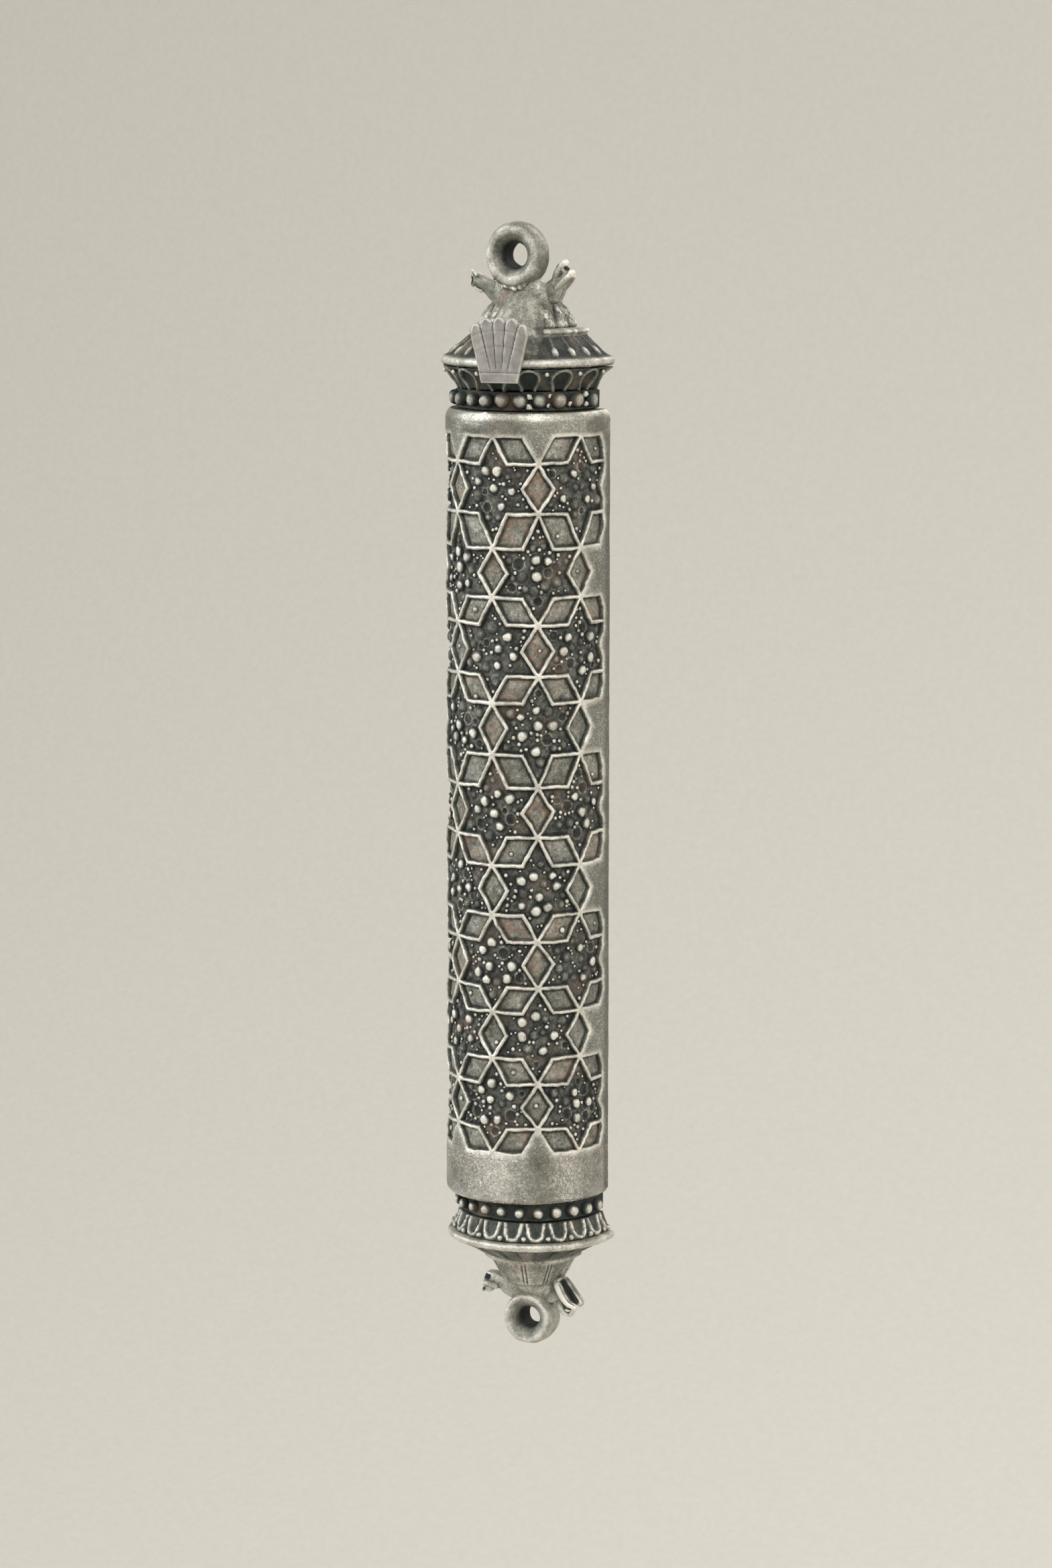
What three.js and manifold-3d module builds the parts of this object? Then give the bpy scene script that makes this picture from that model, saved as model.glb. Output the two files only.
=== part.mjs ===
// Mezuzah case: a half-round pewter case that snaps onto a back plate, with a rolled parchment inside.
// Millimetres, +Z up, front towards -Y. The origin is the centre of the adhesive strip's wall face (y = 0).
import * as THREE from "three";
import { mergeVertices } from "three/addons/utils/BufferGeometryUtils.js";
import Module from "manifold-3d";

// ---------------------------------------------------------------- driving dimensions
const AXIS_Y = -2.2; // the half-round's centre line stands this far in front of the wall
const RIM_Y = -0.2; // back rim of every casting
const BODY_TOP = 46.8; // sleeve and shell
const BODY_BOTTOM = -51.2;
const SLEEVE_R = 10.2; // pierced outer sleeve
const SLEEVE_T = 0.8;
const SHELL_R = 9.35; // inner shell
const SHELL_T = 1.2;
const END_WALL = 1.5;
const REBATE_R = 8.8; // seat for the back plate
const REBATE_Y = -1.95;
const COVER_HALF_W = 8.65;
const COVER_Y0 = -1.9; // back plate, inner and outer face
const COVER_Y1 = -0.9;
const STRIP_W = 11; // foam adhesive strip
const STRIP_L = 84;
const COLUMN_DEG = 33; // star lattice: columns of vertices around the half-round
const RIDGE = 0.56; // width of the lattice's bars
const PATTERN_EDGE_DEG = 93.5;
// heights of the lattice's vertices, from the top
const ROWS = [
  44.0, 40.66, 34.46, 30.28, 24.27, 20.89, 14.69, 11.35, 4.97, 0.99, -5.15, -8.75, -14.85, -18.18, -23.92,
  -27.02, -32.87, -36.07, -41.75, -44.85,
];
const BEADS = 12; // each bead collar
const BEAD_PITCH_DEG = 14;
const LOWER_BEADS_TURN_DEG = -6; // the lower collar is soldered on a little turned
const UPPER_RING = { z: 65.6, od: 8.0, hole: 3.2, y0: -6.2, y1: -2.4 };
const LOWER_RING = { z: -67.75, od: 6.8, hole: 2.6, y0: -4.5, y1: -0.6 };
const LOWER_X = 0.45; // the lower finial is soldered on a little off the centre line
const STEM_R = 1.15; // stem under each ring, soldered into a hole of the casting it stands on
const STEM_HOLE_R = 1.45;
const PLAQUE = { turnDeg: 9, r: 11.35, t: 0.95, z0: 50.5, h: 8.0, w: 7.3, foot: 4.6 };
const FAN = { lobes: 5, focus: 2.8, cusp: 10.05, outerCusp: 9.2, halfDeg: 23 }; // lobes fan out from a focus below the foot
const PIN_Z = 52.72; // middle of the roof's brim
const PIN_R = 0.4;
const TUBE = { r: 3.9, t: 0.35, y: -6.1, z0: -45.1, z1: 40.6 }; // clear sleeve round the parchment
const SCROLL = { r: 3.4, bore: 1.1, z0: -42.8, z1: 37.2 }; // an 80 mm parchment, rolled

// ---------------------------------------------------------------- solids
const wasm = await Module();
wasm.setup();
const deg = THREE.MathUtils.degToRad;

function solid(geometry) {
  const g = (geometry.index ? geometry.toNonIndexed() : geometry).clone();
  const bare = new THREE.BufferGeometry().setAttribute("position", g.getAttribute("position"));
  const merged = mergeVertices(bare, 1e-4);
  const tri = [];
  const ix = merged.index.array;
  for (let i = 0; i < ix.length; i += 3)
    if (ix[i] !== ix[i + 1] && ix[i + 1] !== ix[i + 2] && ix[i] !== ix[i + 2]) tri.push(ix[i], ix[i + 1], ix[i + 2]);
  const make = (t) =>
    new wasm.Manifold(
      new wasm.Mesh({ numProp: 3, vertProperties: new Float32Array(merged.attributes.position.array), triVerts: new Uint32Array(t) }),
    );
  let made = make(tri);
  if (made.volume() < 0) {
    for (let i = 0; i < tri.length; i += 3) [tri[i + 1], tri[i + 2]] = [tri[i + 2], tri[i + 1]];
    made = make(tri);
  }
  return made;
}

function geometryOf(manifold) {
  const m = manifold.getMesh(),
    n = m.numProp,
    v = new Float32Array(m.numVert * 3);
  for (let i = 0; i < m.numVert; i++) v.set(m.vertProperties.subarray(i * n, i * n + 3), i * 3);
  const g = new THREE.BufferGeometry().setAttribute("position", new THREE.BufferAttribute(v, 3));
  g.setIndex(new THREE.BufferAttribute(new Uint32Array(m.triVerts), 1));
  g.computeVertexNormals();
  return g;
}

const box = (x0, x1, y0, y1, z0, z1) =>
  solid(new THREE.BoxGeometry(x1 - x0, y1 - y0, z1 - z0).translate((x0 + x1) / 2, (y0 + y1) / 2, (z0 + z1) / 2));

// A solid of revolution about a vertical axis through (x, y). profile is [[r, z], ...] from the axis to the axis.
const lathe = (profile, segments, x = 0, y = AXIS_Y) =>
  solid(new THREE.LatheGeometry(profile.map((p) => new THREE.Vector2(p[0], p[1])), segments).rotateX(Math.PI / 2).translate(x, y, 0));

// The same with its axis along Y: profile is [[r, y], ...].
const latheY = (profile, segments, x, z) =>
  solid(new THREE.LatheGeometry(profile.map((p) => new THREE.Vector2(p[0], p[1])), segments).translate(x, 0, z));

// A half-round moulding with straight sides back to the rim: outline is [[r, z], ...] from bottom to top.
function moulding(outline, segments = 24, back = RIM_Y) {
  const z0 = outline[0][1],
    z1 = outline[outline.length - 1][1];
  const round = lathe([[0, z0], ...outline, [0, z1]], segments);
  const shape = new THREE.Shape([
    ...outline.map((p) => new THREE.Vector2(p[0], p[1])),
    ...outline.map((p) => new THREE.Vector2(-p[0], p[1])).reverse(),
  ]);
  const sides = solid(
    new THREE.ExtrudeGeometry(shape, { depth: back - AXIS_Y, bevelEnabled: false }).rotateX(Math.PI / 2).translate(0, back, 0),
  );
  return round.add(sides).subtract(box(-30, 30, back, 30, -90, 90));
}

// A half-round section with facet edges at chosen angles, drawn along Z.
function halfRoundPoints(r, angles, back) {
  return [[r, back], ...angles.map((a) => [r * Math.sin(deg(a)), AXIS_Y - r * Math.cos(deg(a))]), [-r, back]];
}
const FACETS = [90, 88, 77, 66, 55, 44, 33, 22, 11, 0, -11, -22, -33, -44, -55, -66, -77, -88, -90];
function halfRound(r, z0, z1, back = RIM_Y) {
  const shape = new THREE.Shape(halfRoundPoints(r, FACETS, back).map((p) => new THREE.Vector2(p[0], p[1])));
  return solid(new THREE.ExtrudeGeometry(shape, { depth: z1 - z0, bevelEnabled: false }).translate(0, 0, z0));
}

// ---------------------------------------------------------------- star lattice: rhombi between six-pointed cells
const U = (d) => deg(d) * SLEEVE_R;
function clip(points, limit) {
  // keeps the part with u <= limit, or u >= limit where limit is negative
  const inside = (p) => (limit > 0 ? p[0] <= limit : p[0] >= limit),
    out = [];
  points.forEach((a, i) => {
    const b = points[(i + 1) % points.length];
    if (inside(a)) out.push(a);
    if (inside(a) !== inside(b)) {
      const t = (limit - a[0]) / (b[0] - a[0]);
      out.push([limit, a[1] + t * (b[1] - a[1])]);
    }
  });
  return out;
}
function inset(points, d) {
  const area = points.reduce((s, p, i) => {
    const q = points[(i + 1) % points.length];
    return s + p[0] * q[1] - q[0] * p[1];
  }, 0);
  const ring = area > 0 ? points : [...points].reverse();
  return ring.map((p, i) => {
    const a = ring[(i + ring.length - 1) % ring.length],
      b = ring[(i + 1) % ring.length];
    const d1 = [p[0] - a[0], p[1] - a[1]],
      d2 = [b[0] - p[0], b[1] - p[1]];
    const l1 = Math.hypot(...d1),
      l2 = Math.hypot(...d2);
    const n1 = [-d1[1] / l1, d1[0] / l1],
      n2 = [-d2[1] / l2, d2[0] / l2];
    const k = 1 + n1[0] * n2[0] + n1[1] * n2[1];
    return [p[0] + (d * (n1[0] + n2[0])) / k, p[1] + (d * (n1[1] + n2[1])) / k];
  });
}
function latticeCells() {
  const cells = [];
  const add = (points) => {
    let p = points.map((q) => [U(q[0]), q[1]]);
    const edge = U(PATTERN_EDGE_DEG);
    if (p.some((q) => q[0] > edge)) p = clip(p, edge);
    if (p.some((q) => q[0] < -edge)) p = clip(p, -edge);
    cells.push(inset(p, RIDGE / 2));
  };
  const C = COLUMN_DEG,
    third = C / 3;
  for (let i = 1; i < 19; i += 2) {
    // upright rhombi
    const columns = ((i - 1) / 2) % 2 === 0 ? [-1, 1] : [-2, 0, 2];
    const zt = ROWS[i],
      zb = ROWS[i + 1],
      zm = (zt + zb) / 2;
    for (const k of columns) add([[k * C, zt], [k * C + third, zm], [k * C, zb], [k * C - third, zm]]);
  }
  for (let i = 0; i < 19; i += 2) {
    // leaning rhombi
    const zu = ROWS[i],
      zl = ROWS[i + 1];
    for (let k = -3; k <= 3; k++) {
      if ((Math.abs(k) % 2 === 0) !== (i % 4 === 0)) continue;
      for (const s of [-1, 1]) {
        if (Math.abs(k + s) > 3) continue;
        add([[k * C, zu], [k * C + s * 2 * third, zu], [(k + s) * C, zl], [(k + s) * C - s * 2 * third, zl]]);
      }
    }
  }
  for (let k = -2; k <= 2; k++)
    for (let i = Math.abs(k) % 2 === 0 ? 0 : 2; i + 3 < ROWS.length; i += 4) {
      // six-pointed cells
      const [a, b, c, d] = ROWS.slice(i, i + 4),
        m = (b + c) / 2,
        x = k * C;
      add([
        [x, a], [x + third, b], [x + C, b], [x + 2 * third, m], [x + C, c], [x + third, c],
        [x, d], [x - third, c], [x - C, c], [x - 2 * third, m], [x - C, b], [x - third, b],
      ]);
    }
  return cells;
}
// a cell's outline as a cutter that points at the half-round's centre line
function radialCutter(points, r0, r1) {
  const g = new THREE.ExtrudeGeometry(new THREE.Shape(points.map((p) => new THREE.Vector2(p[0], p[1]))), { depth: 1, bevelEnabled: false });
  const pos = g.getAttribute("position");
  for (let i = 0; i < pos.count; i++) {
    const a = pos.getX(i) / SLEEVE_R,
      r = r0 + (r1 - r0) * pos.getZ(i);
    pos.setXYZ(i, r * Math.sin(a), AXIS_Y - r * Math.cos(a), pos.getY(i));
  }
  return solid(g);
}

// ---------------------------------------------------------------- body
function latticeSleeve() {
  let s = halfRound(SLEEVE_R, BODY_BOTTOM, BODY_TOP).subtract(halfRound(SLEEVE_R - SLEEVE_T, BODY_BOTTOM - 1, BODY_TOP + 1, 1));
  const cutters = latticeCells().map((c) => radialCutter(c, 7.6, 13.2));
  return s.subtract(wasm.Manifold.union(cutters));
}
function frontShell() {
  const outer = halfRound(SHELL_R, BODY_BOTTOM, BODY_TOP);
  const cavity = halfRound(SHELL_R - SHELL_T, BODY_BOTTOM + END_WALL, BODY_TOP - END_WALL, 1);
  const rebate = box(-REBATE_R, REBATE_R, REBATE_Y, 1, BODY_BOTTOM + 0.8, BODY_TOP - 0.8);
  return outer.subtract(cavity).subtract(rebate);
}
function beadCollar(z0, z1, r, beadR, beadZ, turnDeg = 0) {
  let s = moulding([[r, z0], [r, z1]], 24);
  const half = (BEADS - 1) / 2;
  const beads = [];
  for (let i = -half; i <= half; i++) {
    const a = deg(i * BEAD_PITCH_DEG + turnDeg);
    beads.push(
      solid(
        new THREE.SphereGeometry(beadR, 8, 5).rotateX(Math.PI / 2).rotateZ(a).translate((r + 0.25) * Math.sin(a), AXIS_Y - (r + 0.25) * Math.cos(a), beadZ),
      ),
    );
  }
  return s.add(wasm.Manifold.union(beads));
}

// ---------------------------------------------------------------- hanging rings and leaves
function hangingRing(ring, stemZ0, stemZ1) {
  const R = ring.od / 2,
    h = ring.hole / 2,
    y0 = ring.y0,
    y1 = ring.y1,
    land0 = h + 0.75,
    land1 = R - 0.75;
  const round = latheY(
    [[h, y0 + 0.9], [h + 0.25, y0 + 0.3], [land0, y0], [land1, y0], [R - 0.2, y0 + 0.55], [R, y0 + 1.3], [R, y1 - 0.6], [R - 0.4, y1], [h, y1], [h, y0 + 0.9]],
    28,
    0,
    ring.z,
  );
  const stem = lathe([[0, stemZ0], [STEM_R, stemZ0], [STEM_R, stemZ1], [0, stemZ1]], 16, 0, (y0 + y1) / 2);
  const bore = latheY([[0, y0 - 1], [h, y0 - 1], [h, y1 + 1], [0, y1 + 1]], 28, 0, ring.z);
  return round.add(stem).subtract(bore);
}
// A curled leaf beside a ring, drawn in the XZ plane.
function leaf(points, y0, y1) {
  const curve = new THREE.SplineCurve([...points, points[0]].map((p) => new THREE.Vector2(p[0], p[1])));
  const shape = new THREE.Shape(curve.getPoints(22).slice(0, -1));
  return solid(new THREE.ExtrudeGeometry(shape, { depth: y1 - y0, bevelEnabled: false }).rotateX(Math.PI / 2).translate(0, y1, 0));
}

// ---------------------------------------------------------------- emblem: a shell fan on two pins
function plaqueShape() {
  const { lobes, focus, cusp, outerCusp, halfDeg } = FAN;
  const tip = PLAQUE.h + focus;
  const at = (i, r) => {
    const a = deg(halfDeg * (1 - (2 * i) / lobes));
    return [r * Math.sin(a), r * Math.cos(a) - focus];
  };
  const s = new THREE.Shape();
  s.moveTo(-PLAQUE.foot / 2, 0);
  s.lineTo(PLAQUE.foot / 2, 0);
  s.quadraticCurveTo(PLAQUE.w * 0.4, PLAQUE.h * 0.36, ...at(0, outerCusp));
  for (let i = 0; i < lobes; i++) {
    const outer = i === 0 || i === lobes - 1;
    s.quadraticCurveTo(...at(i + 0.5, 2 * tip - cusp - (outer ? 0.5 : 0)), ...at(i + 1, i === lobes - 1 ? outerCusp : cusp));
  }
  s.quadraticCurveTo(-PLAQUE.w * 0.4, PLAQUE.h * 0.36, -PLAQUE.foot / 2, 0);
  return new THREE.Shape(s.getPoints(5).slice(0, -1));
}
const plaqueTurn = (g) => g.translate(0, -AXIS_Y, 0).rotateZ(deg(PLAQUE.turnDeg)).translate(0, AXIS_Y, 0);
function plaque() {
  const g = new THREE.ExtrudeGeometry(plaqueShape(), { depth: PLAQUE.t, bevelEnabled: false })
    .rotateX(Math.PI / 2)
    .translate(0, AXIS_Y - PLAQUE.r, PLAQUE.z0);
  let s = solid(plaqueTurn(g));
  for (const x of [-1.7, 1.7]) s = s.subtract(pin(x, PIN_R + 0.06, 0.55, 2));
  return s;
}
function pin(x, r, depth, reach) {
  // from inside the plaque to inside the roof's brim
  const g = new THREE.CylinderGeometry(r, r, depth + reach, 12).translate(x, AXIS_Y - PLAQUE.r - depth + (depth + reach) / 2, PIN_Z);
  return solid(plaqueTurn(g));
}

// ---------------------------------------------------------------- assembly
const root = new THREE.Group();
const PEWTER = { color: 0x8f8c84, roughness: 0.42, metalness: 0.9 };
const DARK = { color: 0x5a5953, roughness: 0.55, metalness: 0.8 };
const add = (name, s, look = PEWTER) => {
  const m = new THREE.Mesh(geometryOf(s), new THREE.MeshStandardMaterial(look));
  m.name = name;
  root.add(m);
  return m;
};

add("front_shell", frontShell(), DARK);
add("lattice_sleeve", latticeSleeve());

// upper finial, from the body upwards
add("upper_bead_collar", beadCollar(46.85, 49.2, 8.75, 0.85, 48.25));
add("upper_cornice", moulding([[8.7, 49.25], [9.0, 50.0], [10.1, 51.5], [10.55, 52.1]]));
const pins = [-1.7, 1.7].map((x) => pin(x, PIN_R, 0.5, 1.9));
let roof = moulding([[10.6, 52.15], [10.95, 52.5], [10.9, 53.0], [10.3, 53.3], [8.6, 54.6], [7.1, 55.9], [7.2, 56.3], [6.95, 56.6], [6.0, 56.7]]);
for (const x of [-1.7, 1.7]) roof = roof.subtract(pin(x, PIN_R + 0.06, 0, 2.1));
add("roof_canopy", roof);
const upperStemY = (UPPER_RING.y0 + UPPER_RING.y1) / 2;
const stemHole = (y, z0, z1) => lathe([[0, z0], [STEM_HOLE_R, z0], [STEM_HOLE_R, z1], [0, z1]], 16, 0, y);
add("upper_bell", moulding([[5.95, 56.75], [5.6, 57.3], [5.0, 58.4], [4.35, 59.5], [3.95, 60.4], [3.4, 61.2]], 24).subtract(stemHole(upperStemY, 58.4, 63)));
add("upper_hanging_ring", hangingRing(UPPER_RING, 58.6, 62.4));
add("upper_left_leaf", leaf([[-4.15, 60.7], [-4.5, 61.6], [-5.6, 62.1], [-6.9, 63.3], [-7.4, 62.8], [-6.7, 61.5], [-5.4, 60.7], [-4.6, 60.2]], -3.9, -2.1));
add("upper_right_leaf", leaf([[4.15, 60.7], [4.35, 61.7], [5.1, 63.1], [5.6, 64.5], [6.5, 64.6], [6.9, 63.6], [6.1, 62.3], [5.3, 60.9], [4.7, 60.1]], -3.9, -2.1));
add("emblem_plaque", plaque());
add("emblem_pin_left", pins[0], DARK);
add("emblem_pin_right", pins[1], DARK);

// lower finial, from the body downwards
const lower = (name, s) => add(name, s.translate([LOWER_X, 0, 0]));
lower("lower_bead_collar", beadCollar(-53.55, -51.25, 8.9, 0.75, -52.4, LOWER_BEADS_TURN_DEG));
lower("lower_cornice", moulding([[10.0, -56.05], [9.65, -55.3], [9.15, -54.1], [9.0, -53.6]]));
lower("lower_tier", moulding([[5.2, -59.85], [5.85, -59.7], [5.95, -59.35], [7.3, -58.5], [9.1, -57.5], [10.0, -57.0], [10.35, -56.6], [10.25, -56.1]]));
const lowerStemY = (LOWER_RING.y0 + LOWER_RING.y1) / 2;
lower("fluted_cone", moulding([[2.7, -64.3], [3.0, -63.7], [3.15, -63.3], [3.55, -62.95], [4.3, -61.6], [5.1, -60.1], [5.15, -59.9]]).subtract(stemHole(lowerStemY, -70, -61.6)));
lower("lower_hanging_ring", hangingRing(LOWER_RING, -65.6, -61.8));
lower("lower_left_leaf", leaf([[-3.75, -64.2], [-4.9, -63.3], [-6.2, -63.1], [-6.5, -63.8], [-6.3, -65.1], [-5.7, -65.5], [-4.9, -64.9], [-3.6, -65.3]], -3.2, -1.3));
lower("lower_right_leaf", leaf([[4.25, -62.9], [4.9, -62.3], [6.0, -63.5], [7.3, -64.9], [7.4, -65.8], [6.4, -66.6], [5.5, -66.3], [5.8, -65.4], [4.8, -64.5], [4.1, -64.0]], -3.2, -1.3));

// back plate, stuck to the wall, with two leaf springs that grip the shell's end walls
const RIVET = { r: 0.6, head: 1.15, headT: 0.4 };
const springEnd = (up) => (up > 0 ? BODY_TOP - END_WALL : BODY_BOTTOM + END_WALL);
const rivetZ = (up) => springEnd(up) - up * 2.6;
const rivetBore = (up) => latheY([[0, COVER_Y0 - 2], [RIVET.r + 0.05, COVER_Y0 - 2], [RIVET.r + 0.05, 0], [0, 0]], 12, 0, rivetZ(up));
let plate = box(-COVER_HALF_W, COVER_HALF_W, COVER_Y0, COVER_Y1, BODY_BOTTOM + 0.9, BODY_TOP - 0.9);
for (const up of [1, -1]) plate = plate.subtract(rivetBore(up));
add("back_cover", plate, { color: 0x8a8a86, roughness: 0.5, metalness: 0.85 });
function spring(up) {
  // a bent strip: a foot on the plate, an upright leg, and a rounded bump against the end wall
  const o = (d) => springEnd(up) - up * d;
  const foot = COVER_Y0,
    t = 0.35;
  const pts = [
    [foot, 4.2], [foot, 1.0], [-3.7, 0.75], [-4.3, 0.1], [-4.9, 0.1], [-5.5, 0.75], [-6.6, 1.15],
    [-6.7, 1.5], [-5.4, 1.1], [-4.8, 0.45], [-4.4, 0.45], [-3.8, 1.1], [foot - t, 1.35], [foot - t, 4.2],
  ];
  const shape = new THREE.Shape(pts.map((p) => new THREE.Vector2(p[0], o(p[1]))));
  const g = new THREE.ExtrudeGeometry(shape, { depth: 4.4, bevelEnabled: false });
  g.applyMatrix4(new THREE.Matrix4().makeBasis(new THREE.Vector3(0, 1, 0), new THREE.Vector3(0, 0, 1), new THREE.Vector3(1, 0, 0)));
  return solid(g.translate(-2.2, 0, 0)).subtract(rivetBore(up));
}
const STEEL = { color: 0xa8aaab, roughness: 0.35, metalness: 0.9 };
add("cover_spring_upper", spring(1), STEEL);
add("cover_spring_lower", spring(-1), STEEL);
for (const [name, up] of [["rivet_upper", 1], ["rivet_lower", -1]]) {
  const y0 = COVER_Y0 - 0.35;
  add(name, latheY([[0, y0 - RIVET.headT], [RIVET.head * 0.7, y0 - RIVET.headT], [RIVET.head, y0 - 0.15], [RIVET.head, y0], [RIVET.r, y0], [RIVET.r, COVER_Y1], [0, COVER_Y1]], 12, 0, rivetZ(up)), STEEL);
}
add("adhesive_strip", box(-STRIP_W / 2, STRIP_W / 2, COVER_Y1, 0, -STRIP_L / 2, STRIP_L / 2), { color: 0xd9d8d2, roughness: 0.9, metalness: 0 });

// what it holds
const scroll = (r, z0, z1, bore) => lathe([[bore, z0], [r, z0], [r, z1], [bore, z1], [bore, z0]], 20, 0, TUBE.y);
add("parchment_scroll", scroll(SCROLL.r, SCROLL.z0, SCROLL.z1, SCROLL.bore), { color: 0xe6d9b8, roughness: 0.8, metalness: 0 });
add(
  "scroll_sleeve",
  scroll(TUBE.r, TUBE.z0, TUBE.z1, TUBE.r - TUBE.t),
  { color: 0xe8eef0, roughness: 0.15, metalness: 0 },
);

export default root;
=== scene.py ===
import math

import bpy
import numpy as np
from mathutils import Matrix, Vector
from mathutils.geometry import delaunay_2d_cdt


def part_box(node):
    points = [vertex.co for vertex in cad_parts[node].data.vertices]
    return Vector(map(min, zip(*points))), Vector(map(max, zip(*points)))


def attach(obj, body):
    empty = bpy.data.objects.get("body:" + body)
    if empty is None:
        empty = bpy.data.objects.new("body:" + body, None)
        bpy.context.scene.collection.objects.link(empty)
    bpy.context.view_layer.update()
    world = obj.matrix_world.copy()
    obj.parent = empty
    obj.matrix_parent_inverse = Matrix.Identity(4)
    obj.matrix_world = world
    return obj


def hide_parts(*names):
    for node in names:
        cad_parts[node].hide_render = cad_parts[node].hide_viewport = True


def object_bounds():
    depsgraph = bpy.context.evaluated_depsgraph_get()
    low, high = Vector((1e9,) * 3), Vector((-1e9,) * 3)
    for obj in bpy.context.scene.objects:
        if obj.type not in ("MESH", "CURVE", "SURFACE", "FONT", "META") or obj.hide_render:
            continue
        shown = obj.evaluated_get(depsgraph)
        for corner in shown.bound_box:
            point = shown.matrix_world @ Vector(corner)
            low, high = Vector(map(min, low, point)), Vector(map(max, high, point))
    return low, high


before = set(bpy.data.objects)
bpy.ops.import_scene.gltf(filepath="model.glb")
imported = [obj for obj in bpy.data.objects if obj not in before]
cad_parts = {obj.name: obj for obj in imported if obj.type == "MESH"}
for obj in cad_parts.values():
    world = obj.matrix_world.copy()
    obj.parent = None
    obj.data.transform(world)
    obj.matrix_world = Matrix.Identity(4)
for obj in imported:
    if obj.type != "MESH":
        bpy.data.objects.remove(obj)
CAD_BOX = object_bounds()
MM = 0.001

# ------------------------------------------------------------------ camera and stage, first
AZ, EL, DIST_M = math.radians(26.0), math.radians(8.7), 0.600
TARGET = Vector((-0.00022, -0.00231, 0.0))
cam_data = bpy.data.cameras.new("camera")
cam_data.sensor_fit = "VERTICAL"
cam_data.sensor_height = 24.0
cam_data.lens = 24.0 * 7200.0 / 2337.0
cam_data.clip_start = 0.01
cam = bpy.data.objects.new("camera", cam_data)
bpy.context.scene.collection.objects.link(cam)
back = Vector((math.sin(AZ) * math.cos(EL), -math.cos(AZ) * math.cos(EL), math.sin(EL)))
cam.location = TARGET + back * DIST_M
cam.rotation_euler = (Matrix.Rotation(math.radians(0.02), 3, back) @ back.to_track_quat("Z", "Y").to_matrix()).to_euler()
bpy.context.scene.camera = cam


def area_light(name, loc, size, power, color):
    data = bpy.data.lights.new(name, "AREA")
    data.shape = "RECTANGLE"
    data.size, data.size_y = size
    data.energy, data.color = power, color
    o = bpy.data.objects.new(name, data)
    o.location = loc
    o.rotation_euler = (Vector(loc) - Vector((0, 0, 0))).to_track_quat("Z", "Y").to_euler()
    bpy.context.scene.collection.objects.link(o)
    return o


area_light("key", (0.50, -0.85, 0.80), (0.6, 0.8), 9.6, (1.0, 0.975, 0.93))
area_light("window", (-0.85, -0.50, 0.45), (0.5, 0.9), 9.5, (0.95, 0.98, 1.0))
area_light("rim", (0.95, -0.05, 0.20), (0.3, 0.9), 3.0, (1.0, 0.96, 0.90))
area_light("behind", (0.3, 0.8, 0.6), (0.7, 0.7), 4.0, (1.0, 0.99, 0.97))

bpy.context.scene.view_settings.view_transform = "Standard"
world = bpy.data.worlds.new("studio")
bpy.context.scene.world = world
world.use_nodes = True
wn = world.node_tree
wn.nodes.clear()
w_out = wn.nodes.new("ShaderNodeOutputWorld")
w_bg = wn.nodes.new("ShaderNodeBackground")
w_ramp = wn.nodes.new("ShaderNodeValToRGB")
w_sep = wn.nodes.new("ShaderNodeSeparateXYZ")
w_tc = wn.nodes.new("ShaderNodeTexCoord")
w_map = wn.nodes.new("ShaderNodeMath")
w_map.operation = "MULTIPLY_ADD"
w_map.inputs[1].default_value = 0.5
w_map.inputs[2].default_value = 0.5
wn.links.new(w_tc.outputs["Generated"], w_sep.inputs[0])
wn.links.new(w_sep.outputs["Z"], w_map.inputs[0])
wn.links.new(w_map.outputs[0], w_ramp.inputs[0])
wn.links.new(w_ramp.outputs[0], w_bg.inputs[0])
wn.links.new(w_bg.outputs[0], w_out.inputs[0])
els = w_ramp.color_ramp.elements
els[0].position, els[0].color = 0.25, (0.16, 0.15, 0.14, 1)
els[1].position, els[1].color = 0.85, (0.72, 0.71, 0.68, 1)
w_bg.inputs[1].default_value = 0.95


# ------------------------------------------------------------------ numbers and noise
def hash01(ix, iy, iz, seed):
    n = (ix.astype(np.int64) * 374761393 + iy.astype(np.int64) * 668265263 + iz.astype(np.int64) * 1442695041 + seed * 1274126177) & 0xFFFFFFFF
    n = ((n ^ (n >> 13)) * 1274126177) & 0xFFFFFFFF
    n = ((n ^ (n >> 16)) * 974634553) & 0xFFFFFFFF
    return ((n ^ (n >> 15)) & 0xFFFFFF) / float(0xFFFFFF)


def noise(x, y, z, size, seed=0):
    """Smooth value noise, -1 to 1, with features about size mm across."""
    x, y, z = np.broadcast_arrays(np.asarray(x, float) / size, np.asarray(y, float) / size, np.asarray(z, float) / size)
    ix, iy, iz = np.floor(x), np.floor(y), np.floor(z)
    fx, fy, fz = x - ix, y - iy, z - iz
    fx, fy, fz = (f * f * (3 - 2 * f) for f in (fx, fy, fz))
    out = 0
    for dx in (0, 1):
        for dy in (0, 1):
            for dz in (0, 1):
                w = (fx if dx else 1 - fx) * (fy if dy else 1 - fy) * (fz if dz else 1 - fz)
                out = out + w * hash01(ix + dx, iy + dy, iz + dz, seed)
    return out * 2 - 1


def smooth(e0, e1, x):
    t = np.clip((np.asarray(x, float) - e0) / (e1 - e0), 0, 1)
    return t * t * (3 - 2 * t)


def bump_at(d, width):
    """A rounded ridge: 1 at d = 0, 0 at |d| >= width."""
    t = np.clip(1 - (np.asarray(d, float) / width) ** 2, 0, 1)
    return t * t


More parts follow.
